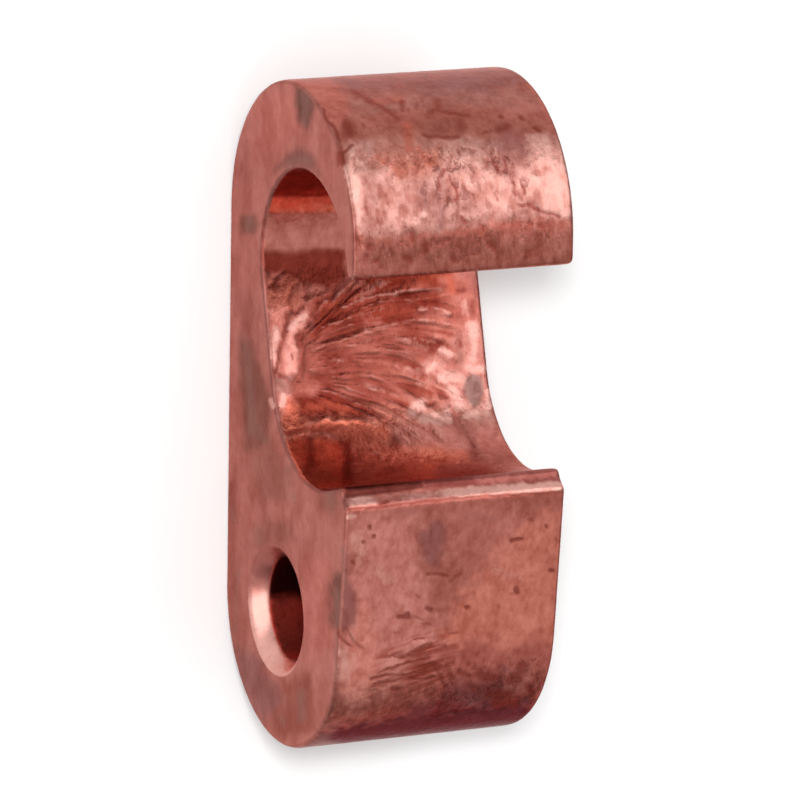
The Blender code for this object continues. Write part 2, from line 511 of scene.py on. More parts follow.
# %% A brush that paints on the part
WOBBLE_SIZE = 0.6 * MM
WOBBLE_PIXELS = 2.0
DEPTH_REACH = 2.2 * MM
MIN_HALF_WIDTH = 1.8
FACING_FROM = 0.3
FACING_FULLY = 0.6
NO_LENGTH = 1e-9
NOISE_SEED = 7

noise.seed_set(NOISE_SEED)
part_shape = BVHTree.FromObject(plain, bpy.context.evaluated_depsgraph_get())


def ramp(values, start, end):
    """0 at the start, 1 at the end, even between them, and held outside them."""
    return np.clip((values - start) / (end - start), 0, 1)


def smooth_noise(size, shift=0):
    """One number of slow noise for each point of the net."""
    return np.array([noise.noise(Vector(p) / size + Vector((0, 0, shift))) for p in points])


def noise_pairs(size):
    """Two numbers of slow noise for each point of the net."""
    return np.array([noise.noise_vector(Vector(p) / size)[:2] for p in points])


wobble = noise_pairs(WOBBLE_SIZE)
wobbled_pixels = pixels + WOBBLE_PIXELS * wobble


def under_pixel(x, y):
    """A pixel, how far in front of the camera the part is there, and its normal. None beside the part."""
    across = (x - PHOTO_SIZE / 2) / FOCAL_PIXELS
    down = (y - PHOTO_SIZE / 2) / FOCAL_PIXELS
    ray = right * across - up * down - back
    place, normal, _, _ = part_shape.ray_cast(CAMERA_PLACE, ray)
    if place is None:
        return None
    return np.array((x, y)), (CAMERA_PLACE - place).dot(back), np.array(normal)


def brush(half_width, stroke):
    """How strongly one stroke reaches each point of the net, from 0 to 1."""
    reach = np.zeros(point_count)
    found = [hit for hit in (under_pixel(x, y) for x, y in stroke) if hit]
    half_width = max(half_width, MIN_HALF_WIDTH)
    for start, end in zip(found, found[1:] or found):
        run = end[0] - start[0]
        share = np.clip((wobbled_pixels - start[0]) @ run / max(run @ run, NO_LENGTH), 0, 1)
        distance = np.hypot(*(wobbled_pixels - start[0] - share[:, None] * run).T)
        same_depth = np.abs(depth - start[1] - share * (end[1] - start[1])) < DEPTH_REACH
        facing = ramp(normals @ (start[2] + end[2]) / 2, FACING_FROM, FACING_FULLY)
        reach = np.maximum(reach, np.exp(-((distance / half_width) ** 2)) * same_depth * facing)
    return reach


def paint(*groups, widened=1.0):
    """All the strokes of some groups together, each with its own strength."""
    painted = np.zeros(point_count)
    for half_width, strength, stroke in (mark for group in groups for mark in group):
        painted = np.maximum(painted, strength * brush(widened * half_width, stroke))
    return painted


moved = np.hypot(*(wobbled_pixels - pixels).T)
print("noise moves a stroke by up to", moved.max().round(1), "pixels")

# %% [markdown]
# The broad tones come first. Each zone has a colour of the palette, a strength, how many pixels its
# limit is soft, and the pixels round it. It lies on one surface of the part only, and slow noise moves
# its limit about, because a real stain has no straight edge. Most zones are stains; some are painted
# light and shade: the hook's darker top and paler band, the crown's bands, the ledge's highlight, the
# bore and the darker foot.

# %% The palette
# Colours of the tones: stains, and painted light and shade.
SKIN_AND_LIGHT_COLOURS = {
    "dull": (0.38, 0.110, 0.085),
    "rose": (0.43, 0.130, 0.104),
    "warm": (0.55, 0.165, 0.118),
    "faceleft": (0.54, 0.182, 0.148),
    "rosebrown": (0.39, 0.110, 0.085),
    "brown": (0.32, 0.096, 0.073),
    "dark": (0.23, 0.057, 0.042),
    "satin": (0.35, 0.142, 0.118),
    "lavender": (0.30, 0.120, 0.104),
    "pale": (0.54, 0.250, 0.212),
    "white": (0.68, 0.350, 0.300),
    "slate": (0.21, 0.082, 0.077),
    "orange": (0.42, 0.110, 0.070),
    "plum": (0.27, 0.082, 0.071),
    "darkplum": (0.15, 0.030, 0.027),
    "lowbrown": (0.39, 0.098, 0.076),
    "lowdark": (0.24, 0.054, 0.049),
    "blackplum": (0.23, 0.078, 0.075),
    "olive": (0.18, 0.064, 0.048),
    "grey": (0.23, 0.110, 0.096),
    "wallrose": (0.28, 0.068, 0.050),
    "wallpink": (0.47, 0.185, 0.155),
    "leftpink": (0.42, 0.150, 0.122),
    "deep": (0.20, 0.024, 0.013),
    "blooddark": (0.15, 0.016, 0.009),
    "ember": (0.20, 0.023, 0.010),
    "blackred": (0.07, 0.009, 0.007),
    "oxblood": (0.34, 0.048, 0.030),
    "edge": (0.27, 0.086, 0.070),
    "rim": (0.20, 0.068, 0.060),
    "lowwarm": (0.62, 0.210, 0.165),
    "brightleft": (0.60, 0.240, 0.200),
    "soot": (0.09, 0.036, 0.028),
    "endrose": (0.36, 0.125, 0.104),
    "smudge": (0.40, 0.048, 0.030),
    "warmrose": (0.50, 0.160, 0.125),
    "crownglow": (0.72, 0.200, 0.130),
    "redfloor": (0.85, 0.165, 0.095),
    "sinkrose": (0.30, 0.095, 0.080),
    "nightplum": (0.10, 0.030, 0.034),
    "glow": (0.66, 0.165, 0.105),
    "glowred": (0.95, 0.150, 0.105),
}
print("colours in the palette:", len(SKIN_AND_LIGHT_COLOURS))

# %% The zones of each surface
ZONES = {
    "hook": [
        # the top, darker partly as painted shade
        ("slate", 0.9, 8, [(330, 79), (420, 74), (520, 66), (532, 80), (470, 97), (400, 90), (350, 92)]),
        ("brown", 0.6, 8, [(345, 118), (365, 98), (400, 112), (470, 100), (505, 112), (545, 118), (552, 134),
            (500, 136), (455, 138), (400, 138), (352, 142)]),
        ("grey", 0.45, 7, [(345, 92), (400, 90), (520, 84), (540, 96), (540, 108), (460, 106), (400, 112),
            (350, 116)]),
        ("dark", 0.45, 6, [(424, 103), (446, 98), (470, 112), (466, 136), (424, 136)]),
        ("dark", 0.6, 5, [(342, 120), (354, 120), (356, 134), (347, 140), (341, 132)]),
        # the bright band, paler partly as painted highlight
        ("satin", 1.0, 5, [(344, 158), (356, 144), (400, 141), (470, 139), (530, 140), (566, 134), (580, 170),
            (582, 224), (540, 219), (500, 222), (480, 226), (440, 232), (380, 238), (362, 238), (352, 205)]),
        ("pale", 0.7, 6, [(344, 143), (352, 141), (362, 139), (400, 138), (440, 139), (480, 139), (500, 142),
            (500, 158), (440, 154), (400, 158), (362, 164), (344, 168)]),
        ("white", 0.6, 4, [(345, 148), (352, 144), (366, 144), (366, 164), (346, 170)]),
        ("orange", 0.5, 8, [(376, 140), (450, 141), (444, 165), (420, 178), (395, 178), (376, 160)]),
        ("lavender", 0.7, 8, [(424, 186), (462, 178), (470, 214), (440, 226), (420, 214)]),
        ("pale", 0.5, 6, [(444, 146), (480, 146), (480, 200), (460, 204), (444, 176)]),
        ("plum", 0.4, 5, [(497, 124), (524, 130), (528, 150), (516, 176), (500, 178), (488, 158)]),
        ("white", 0.9, 4, [(344, 168), (352, 162), (361, 185), (362, 213), (352, 212)]),
        ("pale", 0.9, 6, [(526, 137), (560, 132), (576, 170), (578, 214), (548, 206), (530, 190)]),
        ("pale", 0.6, 7, [(478, 168), (500, 182), (528, 172), (530, 200), (500, 214), (476, 200)]),
        ("pale", 0.3, 6, [(376, 190), (412, 184), (418, 222), (400, 230), (376, 232)]),
        # below the band, darker partly as painted shade
        ("brown", 0.8, 4, [(356, 242), (440, 236), (480, 230), (580, 222), (580, 262), (480, 266),
            (356, 270)]),
        ("rose", 0.7, 5, [(344, 240), (362, 240), (370, 266), (346, 272)]),
        ("dark", 0.4, 6, [(384, 240), (500, 232), (500, 250), (420, 256), (384, 256)]),
    ],
    "end": [
        # the whole face, and its warmer top
        ("endrose", 1.0, 4, [(200, 60), (380, 60), (380, 780), (200, 780)]),
        ("rose", 0.6, 10, [(262, 100), (296, 84), (298, 130), (280, 150), (252, 150)]),
        # stains round the pocket
        ("soot", 0.9, 4, [(295, 86), (312, 88), (315, 110), (308, 130), (297, 120)]),
        ("soot", 0.7, 5, [(274, 172), (284, 158), (300, 148), (312, 156), (322, 176), (298, 166)]),
        ("olive", 1.0, 3, [(240, 216), (256, 215), (259, 226), (254, 234), (241, 233)]),
        ("plum", 0.6, 7, [(238, 140), (250, 140), (250, 180), (240, 180)]),
        ("plum", 0.8, 8, [(234, 290), (254, 300), (258, 345), (252, 370), (238, 340)]),
        ("olive", 1.0, 5, [(238, 340), (252, 342), (263, 372), (271, 402), (268, 445), (246, 452),
            (242, 400)]),
        ("olive", 0.5, 8, [(246, 448), (270, 445), (292, 470), (290, 500), (256, 500)]),
        # stains round the bore
        ("olive", 0.8, 6, [(322, 490), (338, 488), (342, 502), (334, 516), (322, 510)]),
        ("olive", 0.5, 8, [(252, 524), (290, 520), (292, 542), (252, 548)]),
        ("soot", 0.9, 5, [(329, 588), (337, 572), (350, 574), (352, 624), (340, 636), (329, 626)]),
        # streaks from the saw
        ("brown", 0.6, 4, [(250, 480), (256, 480), (254, 530), (248, 530)]),
        ("plum", 0.5, 4, [(262, 470), (268, 470), (266, 524), (260, 524)]),
        ("dark", 0.9, 4, [(264, 686), (278, 686), (288, 738), (274, 738)]),
        ("brown", 0.5, 4, [(318, 520), (322, 520), (324, 570), (318, 570)]),
        # the foot
        ("dark", 1.0, 7, [(282, 680), (310, 674), (316, 728), (284, 740)]),
        ("slate", 0.9, 8, [(232, 640), (262, 660), (284, 700), (262, 724), (240, 690)]),
        ("dark", 0.6, 4, [(222, 480), (236, 480), (236, 560), (240, 640), (228, 630)]),
        ("rose", 0.5, 8, [(300, 560), (330, 560), (334, 640), (312, 670), (304, 640)]),
    ],
    "pocket": [
        # the crown, with bands of painted light and shade, and a painted shadow band below it
        ("oxblood", 1.0, 2, [(266, 160), (336, 160), (336, 197), (266, 197)]),
        ("crownglow", 1.0, 2, [(262, 197), (340, 197), (340, 213), (262, 213)]),
        ("warmrose", 1.0, 3, [(256, 213), (345, 213), (345, 248), (256, 250)]),
        ("deep", 0.9, 4, [(262, 251), (300, 252), (345, 249), (345, 280), (330, 290), (300, 280), (280, 272),
            (262, 272)]),
        # the left column
        ("orange", 0.7, 5, [(262, 280), (296, 276), (300, 300), (286, 312), (262, 312)]),
        ("warmrose", 0.9, 4, [(266, 308), (288, 306), (286, 332), (268, 338)]),
        ("brightleft", 1.0, 3, [(268, 332), (283, 326), (280, 346), (277, 368), (269, 366)]),
        ("brightleft", 0.8, 3, [(290, 326), (300, 316), (309, 311), (305, 326), (297, 334), (298, 352),
            (296, 372), (285, 374), (284, 350)]),
        ("leftpink", 0.8, 4, [(272, 384), (288, 392), (284, 412), (268, 408)]),
        ("lavender", 0.8, 4, [(274, 374), (292, 374), (294, 390), (284, 396), (275, 392)]),
        ("wallrose", 0.8, 4, [(301, 332), (314, 322), (314, 386), (301, 386)]),
        ("wallrose", 0.8, 4, [(288, 381), (306, 380), (306, 398), (290, 396)]),
        # the wall of gouges
        ("deep", 0.9, 7, [(312, 300), (340, 290), (400, 283), (452, 285), (452, 300), (410, 320), (360, 330),
            (312, 335)]),
        ("ember", 0.9, 4, [(360, 276), (450, 268), (456, 292), (446, 290), (420, 284), (372, 290)]),
        ("wallrose", 1.0, 9, [(312, 340), (400, 330), (450, 345), (420, 380), (420, 400), (370, 395),
            (310, 380)]),
        ("blooddark", 0.35, 6, [(302, 346), (362, 350), (362, 392), (302, 392)]),
        # painted shade on the upper wall
        ("deep", 0.4, 6, [(362, 312), (440, 308), (440, 330), (362, 334)]),
        ("warm", 0.5, 6, [(362, 400), (430, 410), (440, 440), (380, 430)]),
        ("glow", 0.9, 5, [(284, 398), (300, 404), (302, 418), (330, 416), (385, 424), (392, 436), (340, 436),
            (320, 434), (284, 440)]),
        ("blooddark", 1.0, 6, [(292, 395), (330, 392), (364, 402), (384, 420), (340, 416), (300, 420)]),
        ("glow", 0.7, 7, [(338, 430), (384, 434), (400, 446), (352, 448)]),
        # the right side
        ("plum", 0.8, 4, [(456, 270), (482, 268), (484, 300), (462, 298)]),
        ("leftpink", 0.9, 5, [(462, 298), (480, 318), (488, 360), (494, 400), (488, 420), (460, 410),
            (436, 384), (442, 360), (456, 330)]),
        # painted shade at the top of the right side, under the lip
        ("rosebrown", 0.8, 6, [(440, 276), (472, 278), (480, 322), (446, 340)]),
        ("pale", 0.6, 5, [(460, 400), (490, 402), (500, 424), (482, 432), (458, 416)]),
        ("pale", 0.9, 5, [(410, 404), (424, 396), (436, 406), (450, 404), (450, 420), (420, 424),
            (406, 414)]),
        ("wallpink", 0.9, 4, [(422, 364), (440, 350), (452, 352), (438, 376), (424, 376)]),
        ("grey", 1.0, 2, [(466, 378), (474, 373), (482, 378), (484, 392), (480, 404), (474, 408), (466, 398),
            (463, 388)]),
        ("faceleft", 1.0, 8, [(400, 424), (450, 424), (500, 424), (506, 440), (466, 450), (400, 452)]),
        # the floor
        ("glow", 0.7, 7, [(350, 446), (470, 450), (500, 462), (420, 466), (350, 462)]),
        ("rosebrown", 0.7, 7, [(345, 466), (440, 470), (520, 474), (560, 480), (560, 490), (400, 494),
            (345, 490)]),
        ("glow", 0.8, 6, [(352, 460), (440, 462), (430, 484), (352, 486)]),
        ("rosebrown", 0.8, 8, [(470, 448), (510, 446), (550, 468), (520, 476), (470, 466)]),
        ("redfloor", 1.0, 5, [(284, 441), (325, 438), (345, 444), (350, 486), (310, 492), (288, 466)]),
        ("smudge", 0.8, 3, [(303, 436), (314, 436), (316, 464), (306, 470)]),
        ("smudge", 0.8, 3, [(340, 440), (351, 440), (354, 486), (342, 486)]),
        ("plum", 0.4, 4, [(444, 400), (458, 402), (476, 434), (488, 460), (470, 462), (456, 434)]),
    ],
    "face": [
        # the upper half
        ("faceleft", 1.0, 12, [(348, 515), (418, 512), (418, 570), (440, 640), (370, 700), (345, 690)]),
        ("rose", 0.9, 12, [(440, 505), (520, 500), (520, 540), (470, 570), (440, 560)]),
        ("warm", 1.0, 12, [(470, 580), (520, 530), (562, 500), (558, 640), (500, 650), (440, 640)]),
        ("plum", 1.0, 5, [(420, 534), (434, 520), (446, 524), (444, 544), (436, 566), (424, 560)]),
        # the left edge
        ("lowwarm", 1.0, 8, [(342, 600), (366, 600), (374, 640), (380, 700), (346, 708)]),
        ("plum", 0.9, 4, [(340, 545), (346, 545), (348, 580), (358, 600), (356, 625), (340, 630)]),
        # the foot, darker towards the bottom, partly as painted shade
        ("lowbrown", 0.8, 12, [(376, 694), (420, 660), (440, 646), (500, 644), (566, 640), (566, 700),
            (520, 760), (350, 760)]),
        ("lowdark", 1.0, 12, [(384, 722), (436, 700), (464, 676), (530, 674), (566, 684), (566, 700),
            (530, 760), (340, 760), (350, 732)]),
        ("blackplum", 0.7, 9, [(462, 694), (500, 682), (528, 690), (520, 722), (466, 722)]),
        ("rosebrown", 0.8, 7, [(504, 668), (536, 664), (548, 690), (530, 706), (506, 700)]),
        ("nightplum", 1.0, 8, [(300, 738), (336, 724), (420, 716), (530, 700), (530, 760), (300, 760)]),
    ],
    "lip": [
        # the ledge, with a painted highlight along it
        ("wallpink", 0.9, 2, [(345, 497), (376, 496), (430, 491), (470, 487), (566, 481), (567, 490),
            (470, 497), (380, 505), (345, 507)]),
        ("white", 0.7, 3, [(350, 498), (372, 497), (376, 504), (350, 506)]),
        ("white", 1.0, 3, [(440, 491), (500, 486), (560, 482), (562, 489), (500, 493), (440, 497)]),
        ("rose", 0.8, 3, [(378, 497), (398, 496), (400, 504), (380, 506)]),
        # the tip, and the line under the ledge, in painted shade
        ("blackred", 0.9, 2, [(345, 480), (420, 478), (425, 488), (400, 492), (345, 499)]),
        ("darkplum", 0.9, 3, [(420, 478), (480, 473), (480, 484), (425, 489)]),
        ("plum", 0.5, 2, [(380, 501), (430, 497), (470, 494), (480, 497), (430, 503), (380, 507)]),
        ("plum", 0.8, 4, [(470, 472), (560, 466), (562, 481), (480, 486)]),
    ],
    "sink": [
        ("wallpink", 0.8, 2, [(230, 540), (310, 540), (310, 690), (230, 690)]),
        ("sinkrose", 1.0, 9, [(230, 530), (310, 530), (310, 576), (230, 580)]),
        # the lower countersink paler: rubbed copper and painted highlight
        ("white", 0.9, 9, [(230, 590), (272, 594), (276, 640), (300, 664), (300, 690), (240, 690)]),
    ],
    "bore": [
        # painted shade at the top of the bore, and a painted red glow lower in it
        ("blackred", 1.0, 4, [(256, 550), (310, 550), (310, 600), (262, 604)]),
        ("glowred", 1.0, 7, [(256, 602), (310, 598), (310, 670), (256, 670)]),
    ],
}
print("zones:", {surface: len(zones) for surface, zones in ZONES.items()})

# %% Which surface each point is on
POCKET_MIDDLE = np.array((0, 6, 15)) * MM
HOOK_ABOVE = 3 * MM
LIP_ABOVE = 20.7 * MM
LIP_MIDDLE = -4.4 * MM
LIP_REACH = 1.3 * MM
END_FROM = 0.7
END_FULLY = 0.9
SINK_BEYOND = -0.3
SEEN_FULLY = 0.15

on_end = ramp(-normals[:, 0], END_FROM, END_FULLY)
seen = ramp(normals @ np.array(back), 0, SEEN_FULLY)
to_middle = (POCKET_MIDDLE - points) * np.array((0, 1, 1))
in_pocket = (to_middle * normals).sum(axis=1) > 0
in_bore = np.hypot(*(points - np.array(BORE_CENTRE))[:, 1:].T) < BORE_REACH
in_sink = in_bore & (normals[:, 0] < SINK_BEYOND)
on_lip = (points[:, 2] > LIP_ABOVE) & (np.abs(points[:, 1] - LIP_MIDDLE) < LIP_REACH)
outside = ~in_pocket & ~in_bore
surfaces = {
    "hook": (1 - on_end) * (outside & (points[:, 1] > HOOK_ABOVE)),
    "face": (1 - on_end) * (outside & (points[:, 1] <= HOOK_ABOVE)),
    "pocket": (1 - on_end) * (in_pocket & ~in_bore),
    "end": on_end * ~in_bore,
    "lip": (1 - on_end) * on_lip,
    "sink": in_sink,
    "bore": in_bore & ~in_sink,
}
print("points on each surface:", {name: int((share > 0.5).sum()) for name, share in surfaces.items()})

# %% Lay the zones on the part
DRIFT_SIZE = 1.6 * MM
FRAY_SHARE = 0.9
SHARP_SOFTNESS = 2

drift = noise_pairs(DRIFT_SIZE)


def zone(softness, corners):
    """How far inside a zone of the photograph each point of the net shows, from 0 to 1."""
    starts = np.array(corners, float)
    ends = np.roll(starts, -1, axis=0)
    looseness = max(softness - SHARP_SOFTNESS, 0)
    drifted_pixels = pixels + looseness * (drift + FRAY_SHARE * wobble)
    distance = np.full(point_count, np.inf)
    for start, run in zip(starts, ends - starts):
        share = np.clip((drifted_pixels - start) @ run / (run @ run), 0, 1)
        away = drifted_pixels - start - share[:, None] * run
        distance = np.minimum(distance, np.hypot(*away.T))
    inwards = np.where(inside_rim(drifted_pixels, starts, ends), distance, -distance)
    level = ramp(inwards, -softness, softness)
    return level * level * (3 - 2 * level)


# The tone of each point: stains, and the painted light and shade of some zones.
skin_and_painted_light = np.tile(SKIN_AND_LIGHT_COLOURS["dull"], (point_count, 1))


def lay(colour_name, share):
    """Lays a colour of the palette over the tones, stains and painted light alike, as strongly as the share
    says.
    """
    skin_and_painted_light[:] += share[:, None] * (np.array(SKIN_AND_LIGHT_COLOURS[colour_name]) - skin_and_painted_light)


for surface, surface_zones in ZONES.items():
    for colour_name, strength, softness, corners in surface_zones:
        lay(colour_name, strength * zone(softness, corners) * surfaces[surface] * seen)
print("the skin's mean colour:", skin_and_painted_light.mean(axis=0).round(3))

# %% [markdown]
# The photograph doesn't show the back, the top and the far end. Blotches of noise in the same colours
# stain them. A darker line is laid along every edge round the two ends: partly wear, and partly painted
# shade where the edge turns away from the light.

# %% Stain the hidden sides, and darken the edges with wear and painted shade
PATCH_SIZE = 4.5 * MM
PATCHES = {
    "olive": {"shift": 10, "ramp": (0.12, 0.30), "strength": 0.7},
    "slate": {"shift": 20, "ramp": (0.15, 0.35), "strength": 0.8},
    "satin": {"shift": 30, "ramp": (0.15, 0.35), "strength": 0.6},
}
PATCH_FRAY = 0.2
EDGE_STRENGTH = 0.9
# Darker lines along the ends' edges: wear, and painted shade.
EDGE_WEAR_AND_SHADE = ((1, False, "darkplum"), (1, True, "darkplum"), (-1, False, "edge"), (-1, True, "rim"))
EDGE_OUTER = (0.2, 0.5)
EDGE_INNER = (0.98, 0.93)

for colour_name, patch in PATCHES.items():
    patches = smooth_noise(PATCH_SIZE, patch["shift"]) + PATCH_FRAY * wobble[:, 0]
    lay(colour_name, patch["strength"] * ramp(patches, *patch["ramp"]) * (1 - seen))
for side, inside, colour_name in EDGE_WEAR_AND_SHADE:
    turned = side * normals[:, 0]
    on_edge = ramp(turned, *EDGE_OUTER) * ramp(turned, *EDGE_INNER)
    lay(colour_name, EDGE_STRENGTH * on_edge * ~in_bore * (in_pocket == inside))
print("hidden points:", int((seen == 0).sum()))

# %% [markdown]
# The strokes are listed by place. Each one has half its width in pixels, its strength, and the pixels
# that it runs through.

# %% The strokes
COLUMN_DARK = [
    (1.4, 0.9, [(288, 312), (285, 328), (281, 345), (278, 359), (275, 372)]),
    (1.5, 0.7, [(309, 322), (304, 334), (303, 350), (302, 368), (299, 380)]),
    (1.3, 0.8, [(292, 286), (289, 298), (290, 309), (297, 312), (303, 307)]),
    (2.0, 0.7, [(273, 284), (277, 277)]),
    (2.6, 0.8, [(297, 269), (304, 280)]),
    (2.0, 0.7, [(305, 284), (306, 296)]),
]
POCKET_RIDGES = [
    (1.7, 0.9, [(334, 300), (342, 289), (353, 280)]),
    (0.9, 0.7, [(318, 310), (325, 300)]),
    (1.1, 0.6, [(307, 300), (318, 297), (328, 293)]),
    (1.1, 0.8, [(342, 307), (364, 299), (396, 292), (419, 289), (441, 289)]),
    (0.9, 0.5, [(355, 310), (377, 303), (396, 300), (411, 300), (428, 298)]),
    (1.1, 0.6, [(322, 328), (342, 321), (363, 311)]),
    (1.2, 0.8, [(418, 309), (435, 308), (450, 314)]),
    (1.1, 0.6, [(386, 325), (405, 321), (427, 320), (449, 323)]),
    (0.9, 0.4, [(328, 332), (349, 325), (368, 324), (383, 322)]),
    (1.1, 0.6, [(310, 350), (325, 344), (339, 341), (363, 334), (389, 328)]),
    (0.9, 0.5, [(336, 349), (355, 345), (374, 339), (385, 336)]),
    (1.1, 0.6, [(400, 339), (421, 339), (439, 343)]),
    (0.9, 0.4, [(313, 371), (330, 371), (336, 373)]),
    (1.1, 0.4, [(330, 378), (349, 376), (374, 377), (396, 383)]),
    (1.1, 0.4, [(286, 396), (307, 389), (330, 392), (349, 399), (368, 408), (391, 426)]),
    (0.9, 0.5, [(349, 390), (368, 394), (388, 401), (403, 408), (416, 421)]),
    (2.6, 0.6, [(307, 424), (325, 418), (342, 421), (363, 421), (388, 429)]),
    (2.2, 0.6, [(284, 437), (307, 432), (322, 434), (339, 440), (355, 446)]),
    (1.1, 0.8, [(374, 450), (383, 458)]),
    (0.9, 0.4, [(342, 405), (358, 409), (374, 418)]),
]
POCKET_GROOVES = [
    (1.8, 0.4, [(344, 300), (355, 289), (369, 277)]),
    (1.6, 0.3, [(307, 342), (318, 333), (336, 324), (355, 316), (374, 305), (389, 302)]),
    (0.9, 0.7, [(364, 302), (388, 298), (411, 295), (439, 292)]),
    (0.9, 0.7, [(389, 307), (411, 304), (435, 304), (450, 308)]),
    (1.1, 0.8, [(392, 318), (411, 315), (433, 315), (450, 318), (464, 324)]),
    (0.9, 0.7, [(383, 329), (403, 327), (424, 325), (442, 327), (457, 331)]),
    (0.9, 0.8, [(369, 340), (388, 335), (405, 334), (421, 335), (436, 343), (442, 348)]),
    (1.1, 1, [(385, 347), (396, 347), (411, 348), (428, 347)]),
    (0.9, 0.4, [(318, 349), (333, 350), (352, 346), (368, 341)]),
    (0.8, 0.7, [(355, 357), (374, 355), (385, 353)]),
    (0.8, 0.6, [(311, 354), (325, 352), (333, 351)]),
    (0.8, 0.6, [(319, 356), (321, 363), (328, 364)]),
    (0.8, 0.6, [(342, 359), (355, 363), (357, 368)]),
    (0.8, 0.5, [(328, 357), (339, 363)]),
    (1.1, 0.9, [(328, 375), (342, 370), (355, 370), (371, 372), (385, 377), (411, 380)]),
    (1.1, 0.8, [(321, 383), (339, 381), (355, 382), (368, 385), (378, 387)]),
    (1.1, 0.5, [(310, 388), (330, 388), (349, 392), (364, 398), (385, 404), (403, 411), (411, 419)]),
    (0.9, 0.7, [(342, 393), (355, 396), (371, 400)]),
    (1.1, 0.8, [(355, 405), (368, 412), (383, 421), (392, 425)]),
    (1.3, 0.4, [(285, 432), (302, 428), (310, 423)]),
    (0.9, 0.5, [(396, 389), (402, 399)]),
    (0.8, 0.8, [(289, 310), (283, 328), (279, 344), (275, 363), (273, 371)]),
    (0.9, 0.5, [(296, 272), (305, 283), (307, 292), (303, 307)]),
    (1.2, 0.7, [(270, 285), (274, 277), (283, 271)]),
    (1.1, 0.9, [(309, 310), (308, 321), (303, 330), (300, 339), (302, 347), (300, 358), (302, 368),
        (299, 377), (291, 388)]),
    (1.9, 0.4, [(314, 307), (313, 318), (309, 333)]),
    (0.9, 0.8, [(441, 355), (442, 368)]),
    (1.9, 0.8, [(449, 405), (457, 421), (466, 436), (472, 447)]),
    (1.1, 0.6, [(450, 307), (458, 318), (463, 322)]),
]
# Painted highlights on the pocket's wall and left column.
POCKET_HIGHLIGHTS = [
    (3.9, 0.5, [(464, 302), (466, 313)]),
    (4.7, 1, [(472, 325), (474, 336)]),
    (3.5, 0.7, [(474, 342), (473, 358)]),
    (3.5, 0.9, [(442, 350), (450, 355)]),
    (2.7, 0.9, [(435, 363), (427, 371)]),
    (4.7, 1, [(442, 377), (460, 378)]),
    (4.7, 1, [(453, 389), (460, 405)]),
    (3.9, 0.9, [(466, 416), (477, 414)]),
    (3.1, 0.9, [(488, 411), (489, 392)]),
    (5.1, 1, [(413, 411), (421, 405)]),
    (5.5, 1, [(424, 418), (439, 419)]),
    (3.1, 0.9, [(447, 411), (449, 421)]),
    (3.9, 0.9, [(469, 369), (482, 369)]),
    (3.0, 0.7, [(277, 328), (275, 345), (274, 358)]),
    (3.1, 1, [(306, 315), (298, 321), (292, 328)]),
    (3.2, 0.3, [(292, 332), (289, 350), (289, 366)]),
    (2.7, 1, [(283, 396), (282, 405)]),
    (2.0, 0.9, [(270, 400), (273, 408)]),
]
POCKET_RED = [
    (7.0, 0.4, [(307, 408), (330, 405), (352, 413)]),
    (5.5, 0.5, [(352, 436), (380, 438)]),
    (7.8, 0.7, [(302, 474), (333, 477)]),
    (5.5, 0.7, [(294, 449), (321, 450)]),
    (4.7, 0.8, [(449, 278), (452, 291)]),
    (4.7, 0.4, [(321, 307), (342, 302)]),
]
POCKET_DARK = [
    (3.0, 0.5, [(310, 438), (310, 464)]),
    (3.0, 0.5, [(346, 449), (346, 478)]),
    (3.9, 0.7, [(392, 439), (392, 444)]),
    (3.9, 0.6, [(472, 444), (474, 452)]),
    (3.9, 0.4, [(386, 469), (400, 469)]),
    (3.9, 1, [(299, 336), (300, 344)]),
    (2.3, 0.8, [(460, 341), (460, 346)]),
    (2.3, 0.8, [(464, 290), (458, 292)]),
    (3.5, 0.6, [(473, 303), (472, 313)]),
    (1.6, 0.9, [(446, 396), (439, 394)]),
    (1.6, 0.9, [(426, 405), (435, 403)]),
    (1.1, 0.8, [(292, 355), (292, 357)]),
    (1.1, 0.8, [(280, 375), (285, 377)]),
    (2.3, 0.5, [(496, 433), (491, 439)]),
]
POCKET_GREY = [
    (5.5, 1, [(474, 385), (474, 388)]),
    (2.3, 0.8, [(475, 400), (474, 407)]),
    (3.5, 0.7, [(460, 352), (460, 361)]),
    (4.7, 0.4, [(396, 357), (414, 355)]),
    (3.1, 0.5, [(278, 378), (282, 386)]),
]
